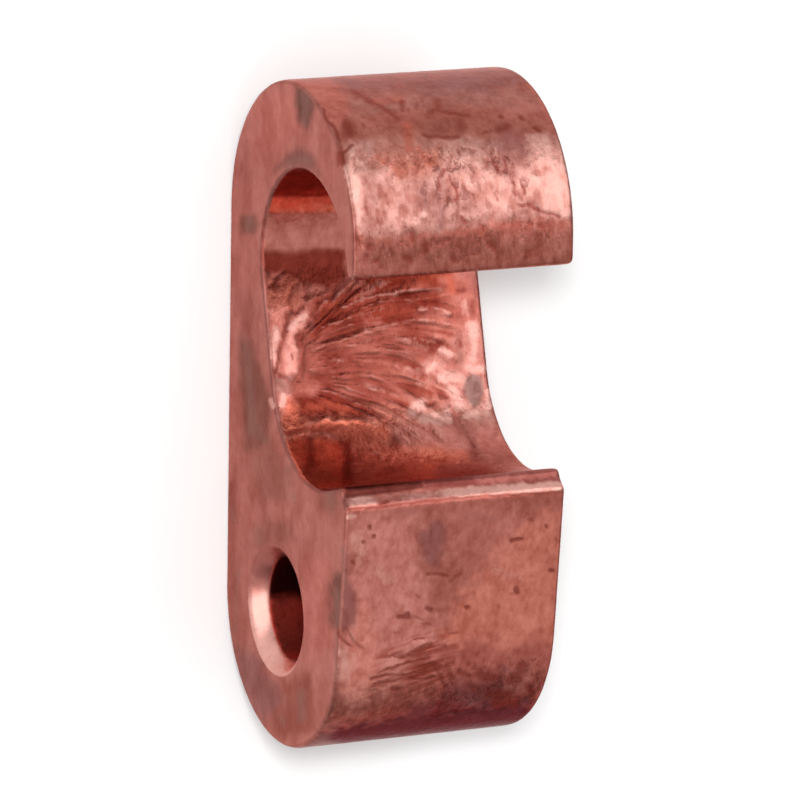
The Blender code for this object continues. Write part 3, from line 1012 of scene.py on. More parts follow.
HOOK_DARK = [
    (2.3, 0.7, [(351, 91), (366, 99), (387, 110), (398, 119)]),
    (2.3, 0.8, [(402, 102), (402, 110)]),
    (2.3, 0.6, [(416, 104), (416, 108)]),
    (3.9, 0.7, [(437, 101), (438, 108)]),
    (1.9, 0.7, [(429, 113), (435, 110), (454, 114), (468, 116)]),
    (4.3, 0.9, [(347, 124), (350, 132)]),
    (2.0, 0.5, [(363, 125), (364, 127)]),
    (3.1, 1, [(340, 154), (339, 162)]),
    (1.1, 1, [(352, 145), (344, 152), (342, 160)]),
    (1.9, 0.7, [(422, 135), (441, 137), (458, 137)]),
    (3.9, 0.6, [(460, 122), (461, 130)]),
    (2.0, 0.8, [(501, 115), (501, 117)]),
    (2.3, 0.8, [(520, 117), (522, 119)]),
    (2.2, 0.9, [(536, 128), (538, 130)]),
    (3.9, 0.8, [(499, 129), (507, 127)]),
    (2.0, 0.7, [(484, 133), (487, 133)]),
    (2.0, 0.6, [(490, 130), (491, 130)]),
    (1.6, 0.6, [(451, 162), (450, 169)]),
    (1.2, 0.6, [(458, 149), (460, 157)]),
    (1.2, 0.6, [(476, 168), (472, 182)]),
    (1.2, 0.6, [(494, 193), (497, 201)]),
    (1.2, 0.6, [(486, 198), (489, 210)]),
    (1.2, 0.7, [(512, 176), (516, 194)]),
    (1.4, 0.7, [(522, 179), (524, 194)]),
    (1.6, 0.6, [(377, 210), (379, 222)]),
    (1.6, 0.6, [(383, 213), (382, 224)]),
    (1.1, 0.8, [(443, 169), (439, 179), (440, 190)]),
    (1.1, 0.8, [(449, 176), (454, 185), (458, 198), (454, 201)]),
    (1.1, 0.7, [(491, 148), (494, 162), (499, 172), (507, 169), (505, 157)]),
    (1.1, 0.5, [(443, 169), (451, 171), (455, 179)]),
    (2.0, 0.8, [(413, 233), (412, 239)]),
    (2.3, 0.8, [(462, 218), (465, 221)]),
    (1.7, 0.8, [(482, 228), (483, 230)]),
    (2.0, 0.8, [(529, 222), (530, 224)]),
    (2.0, 0.8, [(539, 225), (541, 226)]),
    (1.7, 0.7, [(367, 208), (367, 214)]),
    (1.2, 0.7, [(519, 205), (530, 205), (543, 213), (560, 216)]),
    (3.1, 0.9, [(426, 245), (426, 251)]),
    (2.0, 0.8, [(376, 260), (378, 262)]),
    (3.5, 0.9, [(407, 257), (410, 260)]),
    (2.7, 0.9, [(453, 257), (455, 260)]),
    (2.3, 0.6, [(460, 240), (460, 246)]),
    (3.1, 0.7, [(491, 244), (494, 247)]),
    (3.9, 0.6, [(538, 235), (538, 246)]),
    (3.1, 0.6, [(529, 253), (530, 255)]),
    (2.3, 0.5, [(444, 241), (449, 240)]),
    (2.0, 0.6, [(472, 254), (476, 255)]),
    (3.1, 0.6, [(366, 243), (368, 248)]),
    (1.9, 0.6, [(422, 98), (422, 101)]),
    (1.9, 0.5, [(488, 99), (491, 102)]),
    (1.6, 0.5, [(518, 83), (522, 86)]),
]
HOOK_PURPLE = [
    (6.2, 0.8, [(508, 135), (519, 141)]),
    (4.7, 0.8, [(520, 148), (522, 154)]),
    (3.9, 0.6, [(437, 196), (435, 205)]),
    (5.5, 0.6, [(443, 213), (444, 224)]),
    (3.9, 0.6, [(426, 201), (427, 210)]),
    (3.9, 0.6, [(502, 148), (505, 169)]),
    (4.7, 0.6, [(444, 82), (476, 80)]),
    (5.5, 0.5, [(335, 80), (358, 85)]),
    (3.1, 0.5, [(468, 210), (471, 201)]),
    (3.1, 0.5, [(438, 168), (443, 183)]),
]
# Painted highlights along the hook's front edge and in its bright band.
HOOK_HIGHLIGHTS = [
    (3.5, 1, [(355, 183), (358, 205)]),
    (2.3, 1, [(347, 166), (350, 185)]),
    (2.3, 0.8, [(358, 213), (360, 232)]),
    (7.0, 0.9, [(544, 148), (546, 160)]),
    (8.6, 1, [(554, 179), (557, 201)]),
    (4.7, 0.8, [(485, 176), (504, 183)]),
    (3.9, 0.8, [(519, 172), (537, 183)]),
    (4.7, 0.7, [(394, 182), (401, 185)]),
    (4.7, 0.7, [(387, 169), (382, 179)]),
    (4.7, 0.7, [(390, 210), (398, 226)]),
    (3.1, 0.8, [(405, 219), (416, 222)]),
    (3.1, 0.7, [(451, 207), (448, 216)]),
    (3.9, 0.7, [(466, 216), (491, 210)]),
    (3.9, 0.7, [(457, 160), (465, 157)]),
    (2.3, 0.9, [(422, 215), (424, 216)]),
    (3.1, 0.7, [(435, 179), (448, 176)]),
    (3.1, 0.7, [(529, 138), (538, 138)]),
    (4.7, 0.7, [(491, 196), (507, 210)]),
    (1.6, 1, [(560, 212), (566, 214)]),
]
HOOK_ORANGE = [
    (4.7, 0.7, [(407, 126), (410, 148)]),
    (3.9, 0.6, [(419, 148), (429, 163)]),
    (3.1, 0.6, [(376, 158), (394, 169)]),
    (4.7, 0.4, [(374, 102), (401, 99)]),
]
FACE_DARK = [
    (1.3, 0.9, [(370, 526), (370, 529)]),
    (1.4, 0.9, [(374, 536), (374, 538)]),
    (1.1, 0.8, [(363, 542), (364, 542)]),
    (1.8, 1, [(353, 562), (354, 563)]),
    (0.9, 0.6, [(368, 561), (368, 562)]),
    (1.3, 0.6, [(358, 571), (358, 572)]),
    (1.1, 0.8, [(426, 573), (437, 574), (447, 576)]),
    (1.1, 0.8, [(450, 582), (455, 577), (460, 574)]),
    (1.8, 1, [(511, 540), (523, 539)]),
    (1.6, 0.7, [(530, 520), (532, 520)]),
    (1.2, 0.9, [(546, 526), (547, 527)]),
    (1.3, 0.6, [(556, 539), (557, 542)]),
    (1.4, 1, [(549, 571), (554, 570)]),
    (1.0, 0.7, [(546, 563), (547, 563)]),
    (2.1, 0.8, [(516, 587), (517, 592)]),
    (1.3, 0.5, [(510, 594), (514, 594)]),
    (1.4, 1, [(466, 607), (468, 607)]),
    (0.8, 0.7, [(498, 605), (498, 607)]),
    (1.6, 0.5, [(465, 518), (466, 519)]),
    (2.4, 1, [(399, 617), (408, 616)]),
    (1.1, 0.5, [(410, 616), (424, 619)]),
    (2.4, 0.8, [(427, 608), (431, 610)]),
    (1.1, 0.4, [(432, 610), (445, 611)]),
    (1.6, 0.6, [(417, 595), (420, 596)]),
    (1.3, 0.6, [(454, 590), (456, 590)]),
    (1.4, 0.6, [(424, 624), (431, 624)]),
    (1.3, 0.5, [(394, 632), (399, 632)]),
    (1.3, 0.6, [(450, 633), (458, 632)]),
    (1.1, 0.8, [(415, 639), (425, 638)]),
    (1.1, 0.8, [(394, 657), (415, 651), (431, 643)]),
    (1.0, 0.6, [(386, 658), (402, 651)]),
    (1.1, 0.8, [(399, 658), (418, 653), (431, 647)]),
    (1.1, 0.7, [(378, 673), (402, 665), (428, 657)]),
    (1.0, 0.7, [(370, 678), (389, 675), (412, 674), (431, 670)]),
    (1.1, 0.8, [(375, 684), (399, 679), (424, 678), (434, 677)]),
    (1.0, 0.6, [(373, 687), (386, 685)]),
    (2.1, 0.7, [(392, 689), (398, 689)]),
    (1.0, 0.7, [(337, 633), (345, 641), (353, 647)]),
    (1.0, 0.6, [(345, 627), (354, 641), (364, 649)]),
    (1.1, 0.5, [(434, 644), (447, 646)]),
    (3.2, 0.8, [(431, 666), (440, 667)]),
    (3.2, 0.7, [(447, 665), (450, 678)]),
    (2.4, 0.7, [(440, 676), (445, 687)]),
    (4.8, 0.7, [(479, 675), (496, 678)]),
    (4.8, 0.8, [(512, 681), (523, 667)]),
    (4.8, 0.8, [(488, 694), (507, 695)]),
    (4.8, 0.8, [(496, 703), (514, 703)]),
    (3.6, 0.8, [(529, 687), (531, 694)]),
    (4.8, 0.6, [(471, 687), (479, 691)]),
    (2.4, 0.5, [(372, 694), (373, 716)]),
    (4.8, 0.5, [(431, 697), (443, 708)]),
    (2.4, 0.6, [(459, 673), (472, 676)]),
]
FACE_PURPLE = [
    (4.8, 0.9, [(437, 528), (437, 544)]),
    (4.8, 0.9, [(426, 534), (428, 549)]),
    (4.0, 0.7, [(431, 549), (431, 563)]),
    (5.6, 0.4, [(463, 512), (494, 521)]),
    (4.8, 0.4, [(388, 509), (418, 512)]),
    (2.4, 1, [(343, 547), (344, 569)]),
    (4.0, 0.9, [(346, 576), (348, 601)]),
    (3.2, 0.8, [(351, 592), (353, 620)]),
    (6.4, 0.5, [(502, 668), (526, 671)]),
]
FACE_BRIGHT = [
    (6.4, 0.5, [(345, 655), (345, 675)]),
    (4.8, 0.5, [(356, 536), (361, 563)]),
    (4.8, 0.4, [(375, 569), (391, 582)]),
    (0.8, 0.6, [(348, 630), (356, 643)]),
    (4.8, 0.4, [(494, 569), (518, 579)]),
]
# Painted highlight along the ledge's rounded edge.
LEDGE_HIGHLIGHT = [
    (2.9, 0.7, [(355, 501), (372, 501)]),
    (2.4, 0.4, [(404, 497), (421, 495)]),
    (2.1, 0.5, [(424, 496), (437, 493)]),
    (3.2, 1, [(446, 493), (463, 491), (494, 489), (523, 487)]),
    (3.0, 1, [(523, 487), (561, 485)]),
    (1.1, 0.7, [(348, 517), (356, 517)]),
]
# Painted shade: the line under the ledge, laid partly over its highlight.
LEDGE_SHADE = [
    (1.6, 0.6, [(348, 509), (375, 508), (399, 505), (424, 502), (440, 500)]),
    (2.4, 0.7, [(380, 504), (386, 502)]),
    (1.3, 0.5, [(428, 502), (456, 498), (494, 496), (561, 492)]),
]
END_DARK = [
    (0.9, 0.8, [(323, 108), (326, 119), (335, 129), (341, 142)]),
    # painted shadow along the pocket's rim
    (1.0, 0.6, [(266, 207), (263, 229), (262, 265)]),
    (1.0, 0.5, [(335, 190), (336, 192)]),
    (1.5, 0.5, [(242, 163), (242, 171)]),
]
END_STAIN = [
    (5.1, 1, [(304, 92), (306, 104)]),
    (4.0, 1, [(306, 108), (304, 123)]),
    (4.4, 0.9, [(288, 164), (297, 160), (306, 161)]),
    (4.4, 1, [(249, 220), (249, 227)]),
    (1.5, 0.8, [(270, 190), (271, 192)]),
    (1.2, 0.5, [(259, 122), (260, 123)]),
    (4.6, 0.6, [(244, 336), (249, 368)]),
    (4.2, 0.9, [(249, 368), (251, 398), (252, 432)]),
    (3.4, 0.6, [(254, 424), (266, 442)]),
    (2.5, 0.5, [(288, 464), (289, 476)]),
    (2.1, 0.6, [(230, 508), (234, 520)]),
    (5.4, 0.8, [(338, 594), (340, 623)]),
    (2.5, 0.8, [(344, 550), (345, 584)]),
    (4.5, 0.7, [(329, 494), (331, 501)]),
    (1.2, 0.7, [(293, 491), (293, 503)]),
    (4.0, 0.6, [(258, 530), (260, 542)]),
    (2.3, 0.6, [(238, 569), (235, 632)]),
    (2.1, 0.6, [(232, 507), (234, 518)]),
    (5.4, 0.9, [(301, 694), (302, 718)]),
    (2.7, 0.6, [(281, 718), (283, 725)]),
    (1.6, 1, [(255, 568), (257, 568)]),
    (1.4, 0.5, [(248, 646), (245, 673)]),
    (0.9, 0.9, [(337, 635), (336, 659), (336, 676)]),
]
print("strokes in the pocket:", len(POCKET_RIDGES + POCKET_GROOVES + POCKET_HIGHLIGHTS + POCKET_DARK))

# %% [markdown]
# Between the strokes that stand out, the pocket's wall has many finer gouges, which fan out from its
# left side in flat arcs. Stretched noise makes them: it changes quickly across the arcs and slowly
# along them.

# %% The fan of fine gouges
FAN_START = np.array((306.6, 255.0))
FAN_RISE = 2.4
FAN_BEND = 0.0029
FAN_SPREAD = 0.0192
LEAST_WIDENING = 0.4
GOUGES_ACROSS = 0.30
GOUGES_ALONG = 0.022
FAN_LEFT = (-4, 10)
FAN_RIGHT = (476, 440)
FAN_TOP = 268
FAN_TOP_LEFT = 326
FAN_TOP_SLOPE = 1.1
FAN_TOP_SOFT = 14
FAN_FOOT = 452
FAN_FOOT_LEFT = 418
FAN_FOOT_SLOPE = 0.35
FAN_FOOT_SOFT = 26
WALL_BELOW = 12.5 * MM
WALL_TILT = 0.35
WALL_MIDDLE = 4 * MM
WALL_REACH = 7.5 * MM

photo_x, photo_y = pixels.T
along_fan = photo_x - FAN_START[0]
down_fan = photo_y - FAN_START[1]
widening = np.clip(1 + FAN_SPREAD * along_fan, LEAST_WIDENING, None)
across_fan = (down_fan + FAN_RISE * along_fan - FAN_BEND * along_fan**2) / widening
fan_places = zip(across_fan * GOUGES_ACROSS, along_fan * GOUGES_ALONG)
fan = np.array([noise.noise(Vector((a, b, 0.0))) for a, b in fan_places])
on_wall = (points[:, 2] < WALL_BELOW) & (normals[:, 2] > WALL_TILT)
on_wall &= np.abs(points[:, 1] - WALL_MIDDLE) < WALL_REACH
in_fan = ramp(along_fan, *FAN_LEFT) * ramp(photo_x, *FAN_RIGHT)
fan_top = np.maximum(FAN_TOP, FAN_TOP_LEFT - FAN_TOP_SLOPE * along_fan)
fan_foot = np.minimum(FAN_FOOT, FAN_FOOT_LEFT + FAN_FOOT_SLOPE * along_fan)
in_fan *= ramp(photo_y, fan_top, fan_top + FAN_TOP_SOFT) * ramp(photo_y, fan_foot, fan_foot - FAN_FOOT_SOFT)
fan *= on_wall * in_fan
print("points in the fan:", int((np.abs(fan) > 0.01).sum()))

# %% [markdown]
# The same stretched noise also serves the scrapes on the face, the upright smears on the hook and the
# faint ones on the end face. Only its direction and how fine it is change from one to the next.

# %% Scrapes and smears
SCRAPED = [(368, 668), (400, 640), (446, 632), (470, 650), (440, 692), (372, 696)]
SCRAPED_SOFTNESS = 8
SCRAPE_SLOPE = 0.30
SCRAPES_ACROSS = 0.62
HOOK_SMEARS_FROM = (136, 152)
HOOK_SMEARS = {"across": 0.50, "along": 2.0, "share": 0.40}
END_SMEARS = {"across": 0.30, "along": 0.8, "share": 0.40}
FINE_FROM = 100

on_face = surfaces["face"] * seen * zone(SCRAPED_SOFTNESS, SCRAPED)
on_hook = surfaces["hook"] * seen * ramp(photo_y, *HOOK_SMEARS_FROM)
on_flat = surfaces["end"] * seen
in_fan = in_fan * on_wall + on_face + HOOK_SMEARS["share"] * on_hook + END_SMEARS["share"] * on_flat
across_fan = np.where(on_face > 0, (photo_y + SCRAPE_SLOPE * photo_x) * SCRAPES_ACROSS, across_fan)
for smears, smeared in ((HOOK_SMEARS, on_hook > 0), (END_SMEARS, on_flat > 0.5)):
    across_fan = np.where(smeared, photo_x * smears["across"], across_fan)
    along_fan = np.where(smeared, FINE_FROM + smears["along"] * photo_y, along_fan)
print("points with scrapes or smears:", int((on_face + on_hook + on_flat > 0.01).sum()))

# %% [markdown]
# Each kind of mark becomes one number for each point of the net. A soft mark, such as a shine or a dull
# spot, is painted a little wider than its stroke, and a ridge or groove is painted as narrow as it is.
# The ridges and the fan's crests add painted highlight to the bright marks, and the grooves and the
# fan's hollows add painted shade to the dark marks.

# %% Paint the marks
SHINE_WIDENED = 1.6
SHINE_SHARE = 0.7
POCKET_WIDENED = 1.15
SPOTS_WIDENED = 1.3
FACE_SPOTS_WIDENED = 1.35
# Painted highlight on ridges and crests, painted shade in grooves and hollows.
RIDGE_HIGHLIGHT = 0.45
GROOVE_SHADE = 0.4
FAN_SHADE = {"share": 1.1, "most": 0.6}
FAN_HIGHLIGHT = {"share": 0.5, "most": 0.25}
PLAIN_TO_SEE = 0.1

ridges = paint(POCKET_RIDGES)
grooves = paint(POCKET_GROOVES)
dark_spots = paint(COLUMN_DARK, POCKET_DARK, HOOK_DARK, LEDGE_SHADE, END_DARK, widened=SPOTS_WIDENED)
dark_spots = np.maximum(dark_spots, paint(FACE_DARK, widened=FACE_SPOTS_WIDENED))
# The bright marks: rubbed copper, and painted highlights on edges, ridges and crests.
brights = (
    SHINE_SHARE * paint(HOOK_HIGHLIGHTS, FACE_BRIGHT, widened=SHINE_WIDENED),
    paint(POCKET_HIGHLIGHTS, LEDGE_HIGHLIGHT, widened=POCKET_WIDENED),
    RIDGE_HIGHLIGHT * ridges,
    np.clip(FAN_HIGHLIGHT["share"] * fan, 0, FAN_HIGHLIGHT["most"]),
)
# The dark marks: spots and scratches, and painted shade in grooves, hollows and under the ledge.
darks = (dark_spots, GROOVE_SHADE * grooves, np.clip(-FAN_SHADE["share"] * fan, 0, FAN_SHADE["most"]))
marks = {
    "bright": np.max(brights, axis=0),
    "dark": np.max(darks, axis=0),
    "stain": paint(POCKET_GREY, END_STAIN),
    "purple": paint(HOOK_PURPLE, FACE_PURPLE),
    "red": paint(POCKET_RED, HOOK_ORANGE),
    "across_fan": across_fan,
    "along_fan": along_fan,
    "in_fan": in_fan,
}
for name in ("bright", "dark", "stain", "purple", "red"):
    print(name, "marks reach", int((marks[name] > PLAIN_TO_SEE).sum()), "points")

# %% Pits, painted shade at the foot, and the even places
PITTED = [
    (1.0, 7, [(426, 140), (468, 140), (478, 196), (462, 216), (420, 214)]),
    (1.0, 6, [(486, 142), (512, 142), (520, 172), (500, 182), (486, 172)]),
    (0.9, 5, [(508, 172), (530, 172), (532, 202), (512, 200)]),
    (0.5, 8, [(352, 142), (560, 138), (572, 222), (370, 236)]),
    (0.5, 8, [(430, 340), (480, 320), (494, 410), (410, 425)]),
    (0.4, 8, [(264, 316), (306, 316), (300, 400), (272, 400)]),
    (0.8, 8, [(430, 662), (548, 652), (550, 705), (430, 720)]),
    (0.6, 6, [(350, 238), (570, 230), (570, 258), (350, 268)]),
]
# Painted shade at the foot, which darkens what the copper mirrors there.
SHADED_FOOT = [(330, 706), (420, 700), (500, 680), (560, 660), (580, 700), (530, 770), (330, 770)]
FOOT_SHADE_SHARE = 0.8
FOOT_SHADE_SOFTNESS = 12
END_EVENNESS = 0.6

pits = np.max([strength * zone(softness, corners) for strength, softness, corners in PITTED], axis=0)
marks["pits"] = pits * seen * (1 - on_end) * ~in_bore
marks["foot_shade"] = FOOT_SHADE_SHARE * zone(FOOT_SHADE_SOFTNESS, SHADED_FOOT) * surfaces["face"] * seen
marks["even"] = np.maximum(in_bore, END_EVENNESS * on_end)
print("pitted points:", int((marks["pits"] > PLAIN_TO_SEE).sum()))

# %% [markdown]
# Now the points move along their normals: ridges outwards, grooves and spots inwards, and the fan and
# a slow wave either way. The two flat ends are only ever pushed in, so the part keeps its length.

# %% Push the points in and out
RIDGE_HEIGHT = 0.06 * MM
GROOVE_DEPTH = 0.07 * MM
SPOT_DEPTH = 0.05 * MM
FAN_HEIGHT = 0.07 * MM
WAVE_HEIGHT = 0.012 * MM
WAVE_SIZE = 1.1 * MM
FLAT_FROM = 0.98

height = RIDGE_HEIGHT * ridges - GROOVE_DEPTH * grooves - SPOT_DEPTH * dark_spots
height += FAN_HEIGHT * fan + WAVE_HEIGHT * smooth_noise(WAVE_SIZE)
on_flats = np.abs(normals[:, 0]) > FLAT_FROM
height[on_flats] = np.minimum(height[on_flats], 0)
shaped = np.clip(points + normals * height[:, None], *np.array(cad_box))
body.data.vertices.foreach_set("co", shaped.ravel())
body.data.update()
print("pushed by", (height.min() / MM).round(3), "to", (height.max() / MM).round(3), "mm")

# %% Keep the marks and the tones, with their painted light and shade, on the mesh
for name, values in marks.items():
    attribute = body.data.attributes.new(name, "FLOAT", "POINT")
    attribute.data.foreach_set("value", values.astype(np.float32))
# The tones hold stains and painted light and shade alike.
tone_attribute = body.data.attributes.new("skin_and_painted_light", "FLOAT_COLOR", "POINT")
tone_attribute.data.foreach_set("color", np.hstack([skin_and_painted_light, np.ones((point_count, 1))]).ravel())
print("attributes:", ", ".join(marks), "and skin")

# %% [markdown]
# ## The copper finish
#
# Old copper is a metal with a thin brown film of oxide. The shader is one Principled BSDF, almost fully
# metallic where the copper is clean and less so under a stain. The painted marks, stains and some
# painted highlight and shade, choose between a few copper colours, and noise breaks up their edges,
# because real stains have no smooth edge.
#
# A net of nodes reads best as sums. Each helper below adds a node or a few, and gives back the output,
# which goes into the next.

# %% Helpers that add nodes to the copper
copper = bpy.data.materials.new("worn_copper")
copper.use_nodes = True
copper_nodes = copper.node_tree.nodes
copper_links = copper.node_tree.links
copper_shader = copper_nodes["Principled BSDF"]
coordinates = copper_nodes.new("ShaderNodeTexCoord")


def plug(value, socket):
    """Links a node's output to a socket, or sets a plain number or colour on it."""
    if isinstance(value, bpy.types.NodeSocket):
        copper_links.new(value, socket)
    else:
        socket.default_value = value


def painted(name, output="Fac"):
    """What is painted on the mesh under this name: a number, or with the output Color a colour."""
    node = copper_nodes.new("ShaderNodeAttribute")
    node.attribute_name = name
    return node.outputs[output]


def calculate(operation, *values):
    """Does the same sum with the first value and each further one in turn."""
    result = values[0]
    for value in values[1:]:
        node = copper_nodes.new("ShaderNodeMath")
        node.operation = operation
        plug(result, node.inputs[0])
        plug(value, node.inputs[1])
        result = node.outputs[0]
    return result


def times(*values):
    """The product of all the values."""
    return calculate("MULTIPLY", *values)


def weighed_sum(*pairs):
    """The sum of values, each times its own weight."""
    return calculate("ADD", *[times(value, weight) for value, weight in pairs])


def spread(value, low, high, to_low=0.0, to_high=1.0):
    """Maps the range low to high onto another range, and holds it there."""
    node = copper_nodes.new("ShaderNodeMapRange")
    for number, part in enumerate((value, low, high, to_low, to_high)):
        plug(part, node.inputs[number])
    return node.outputs[0]


def blend(share, under, over, data_type="RGBA", blend_type="MIX"):
    """Lays one colour over another by a share, or does the same with numbers."""
    node = copper_nodes.new("ShaderNodeMix")
    node.data_type = data_type
    node.blend_type = blend_type
    plug(share, node.inputs["Factor"])
    plug(under, node.inputs["A"])
    plug(over, node.inputs["B"])
    return node.outputs["Result"]


def tinted(under, tint):
    """A colour times a tint."""
    return blend(1.0, under, tint, blend_type="MULTIPLY")


print("helpers ready for", copper.name)

# %% Noise on the part
FINE_GRAIN = 0.55


def speckle(scale, detail, along=1.0, roughness=FINE_GRAIN):
    """Noise with this many features for each metre, drawn out along the part where along is below 1."""
    mapping = copper_nodes.new("ShaderNodeMapping")
    mapping.inputs["Scale"].default_value = (1, along, 1)
    plug(coordinates.outputs["Object"], mapping.inputs["Vector"])
    texture = copper_nodes.new("ShaderNodeTexNoise")
    texture.inputs["Scale"].default_value = scale
    texture.inputs["Detail"].default_value = detail
    texture.inputs["Roughness"].default_value = roughness
    plug(mapping.outputs["Vector"], texture.inputs["Vector"])
    return texture.outputs["Fac"]


cloud = speckle(scale=420, detail=5.0, roughness=0.6)
blotch = speckle(scale=1150, detail=4.0, along=0.8)
fleck = speckle(scale=2600, detail=4.0, along=0.55)
streaks = speckle(scale=2400, detail=2.0, along=0.12)
pit_noise = speckle(scale=1700, detail=2.0, along=0.6)
print("nodes after the noise:", len(copper_nodes))

# %% [markdown]
# A range below has two levels of a value, and where two more numbers follow, the shares at those levels.
# The gouges between the strokes are coarser in the left half of the fan than in the right.

# %% Gouges and pits
LEFT_GOUGES = {"across": 0.12, "along": 0.024}
RIGHT_GOUGES = {"across": 0.27, "along": 0.021}
RIGHT_HALF_RANGE = (35.0, 95.0)
GOUGE_DETAIL = 1.5
GOUGE_DISTORTION = 0.5
GROOVE_RANGE = (0.36, 0.50, 0.85, 0.0)
CREST_RANGE = (0.50, 0.64, 0.0, 0.75)
PIT_RANGE = (0.54, 0.64)
GLINT_RANGE = (0.44, 0.36)


def gouge_noise(across, along):
    """Noise that is stretched along the fan of gouges."""
    place = copper_nodes.new("ShaderNodeCombineXYZ")
    plug(times(painted("across_fan"), across), place.inputs["X"])
    plug(times(painted("along_fan"), along), place.inputs["Y"])
    texture = copper_nodes.new("ShaderNodeTexNoise")
    texture.inputs["Scale"].default_value = 1.0
    texture.inputs["Detail"].default_value = GOUGE_DETAIL
    texture.inputs["Distortion"].default_value = GOUGE_DISTORTION
    plug(place.outputs["Vector"], texture.inputs["Vector"])
    return texture.outputs["Fac"]


on_right_half = spread(painted("along_fan"), *RIGHT_HALF_RANGE)
fold = blend(on_right_half, gouge_noise(**LEFT_GOUGES), gouge_noise(**RIGHT_GOUGES), data_type="FLOAT")
in_gouges = painted("in_fan")
groove_share = times(spread(fold, *GROOVE_RANGE), in_gouges)
crest_share = times(spread(fold, *CREST_RANGE), in_gouges)
pitted = painted("pits")
pit = times(spread(pit_noise, *PIT_RANGE), pitted)
glint = times(spread(pit_noise, *GLINT_RANGE), pitted)
print("nodes after the gouges and pits:", len(copper_nodes))

# %% [markdown]
# The colour begins as the painted tones, mottled darker and paler. Painted shade darkens the grooves,
# painted highlight lightens the crests and the glints of the pits, the pits are tinted darker, and the
# painted marks are laid over it in turn.

# %% The colour of the copper
MOTTLE = ((cloud, 0.35), (blotch, 0.40), (fleck, 0.25))
MOTTLE_RANGE = (0.40, 0.60)
DARKER_TINT = (0.80, 0.68, 0.64, 1)
PALER_TINT = (1.16, 1.28, 1.30, 1)
EVENNESS = 0.75
# Painted shade in the grooves, painted highlight on crests and glints.
GROOVE_SHADE_TINT = (0.62, 0.36, 0.28, 1)
CREST_HIGHLIGHT_TINT = (1.25, 1.42, 1.42, 1)
PIT_TINT = (0.55, 0.42, 0.42, 1)
PIT_STRENGTH = 0.8
GLINT_STRENGTH = 0.7
# Bright is rubbed copper and painted highlight; dark is spots, scratches and painted shade.
MARK_COLOURS = {
    "red": {"strength": 0.6, "colour": (0.46, 0.09, 0.05, 1)},
    "bright": {"strength": 0.75, "colour": (0.66, 0.34, 0.29, 1)},
    "purple": {"strength": 0.5, "colour": (0.26, 0.085, 0.08, 1)},
    "stain": {"strength": 0.4, "colour": (0.20, 0.085, 0.065, 1)},
    "dark": {"strength": 0.8, "colour": (0.19, 0.030, 0.020, 1)},
}
RAGGEDNESS = 1.6
RAGGED_FULLY = 0.3
NOISE_MIDDLE = 0.5
MARK_RANGE = (0.12, 0.75)

both_noises = calculate("ADD", blotch, fleck)
ragged = calculate("SUBTRACT", times(both_noises, 0.5), NOISE_MIDDLE)


def broken_up(name, strength):
    """A painted mark with its edge broken up by blotches and flecks."""
    share = painted(name)
    touched = spread(share, 0.0, RAGGED_FULLY)
    broken = calculate("ADD", share, times(ragged, RAGGEDNESS, touched))
    return spread(broken, *MARK_RANGE, 0.0, strength)


base = painted("skin_and_painted_light", "Color")
mottle = spread(weighed_sum(*MOTTLE), *MOTTLE_RANGE)
mottled = blend(mottle, tinted(base, DARKER_TINT), tinted(base, PALER_TINT))
colour = blend(times(painted("even"), EVENNESS), mottled, base)
tints = (
    (groove_share, GROOVE_SHADE_TINT),
    (crest_share, CREST_HIGHLIGHT_TINT),
    (times(pit, PIT_STRENGTH), PIT_TINT),
    (times(glint, GLINT_STRENGTH), CREST_HIGHLIGHT_TINT),
)
for share, tint in tints:
    colour = blend(share, colour, tinted(colour, tint))
for name, mark in MARK_COLOURS.items():
    colour = blend(broken_up(name, mark["strength"]), colour, mark["colour"])
plug(colour, copper_shader.inputs["Base Color"])
print("nodes after the colour:", len(copper_nodes))

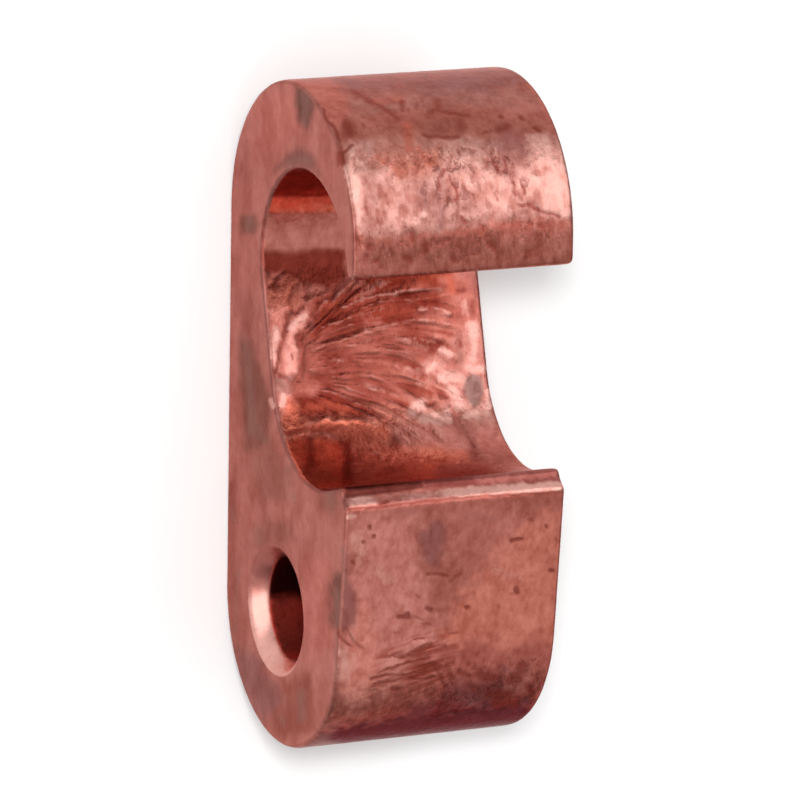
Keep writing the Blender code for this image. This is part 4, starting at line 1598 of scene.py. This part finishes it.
# %% How the copper shines
METALLIC_CLEAN = 0.95
METALLIC_STAINED = 0.7
ROUGHNESS_RANGE = (0.3, 0.7, 0.26, 0.36)
STAIN_ROUGHNESS = 0.10
EDGE_TINT = (0.96, 0.62, 0.58, 1)
SHADED_FOOT_EDGE_TINT = (0.50, 0.27, 0.29, 1)
COAT_WEIGHT = 0.05
COAT_ROUGHNESS = 0.35

dullness = calculate("MAXIMUM", painted("stain"), painted("purple"))
shine_roughness = calculate("ADD", spread(fleck, *ROUGHNESS_RANGE), times(dullness, STAIN_ROUGHNESS))
# The foot's painted shade darkens the tint of the mirrored light there.
shine = {
    "Metallic": spread(dullness, 0, 1, METALLIC_CLEAN, METALLIC_STAINED),
    "Roughness": shine_roughness,
    "Specular Tint": blend(painted("foot_shade"), EDGE_TINT, SHADED_FOOT_EDGE_TINT),
    "Coat Weight": COAT_WEIGHT,
    "Coat Roughness": COAT_ROUGHNESS,
}
for name, value in shine.items():
    plug(value, copper_shader.inputs[name])
print("shine set:", ", ".join(shine))

# %% [markdown]
# The finest relief is a bump in the shader. The faces are then shaded smooth, apart from the sharp
# corners between them.

# %% The finest relief
BUMP_STRENGTH = 0.5
BUMP_DISTANCE = 0.06 * MM
RELIEF = ((fleck, 1.0), (streaks, 0.6), (blotch, 1.6), (times(fold, in_gouges), 5.0), (pit, -0.8))
EVEN_RELIEF = 0.4
SHARP_FROM = math.radians(60)

bump = copper_nodes.new("ShaderNodeBump")
bump.inputs["Strength"].default_value = BUMP_STRENGTH
bump.inputs["Distance"].default_value = BUMP_DISTANCE
relief = times(weighed_sum(*RELIEF), spread(painted("even"), 0, 1, 1.0, EVEN_RELIEF))
plug(relief, bump.inputs["Height"])
plug(bump.outputs["Normal"], copper_shader.inputs["Normal"])
body.data.materials.append(copper)
bpy.ops.object.select_all(action="DESELECT")
body.select_set(True)
bpy.context.view_layer.objects.active = body
bpy.ops.object.shade_smooth_by_angle(angle=SHARP_FROM)
print("nodes in the copper finish:", len(copper_nodes))

# %% Hand the piece over
import json

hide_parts("connector_body")
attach(body, "root")
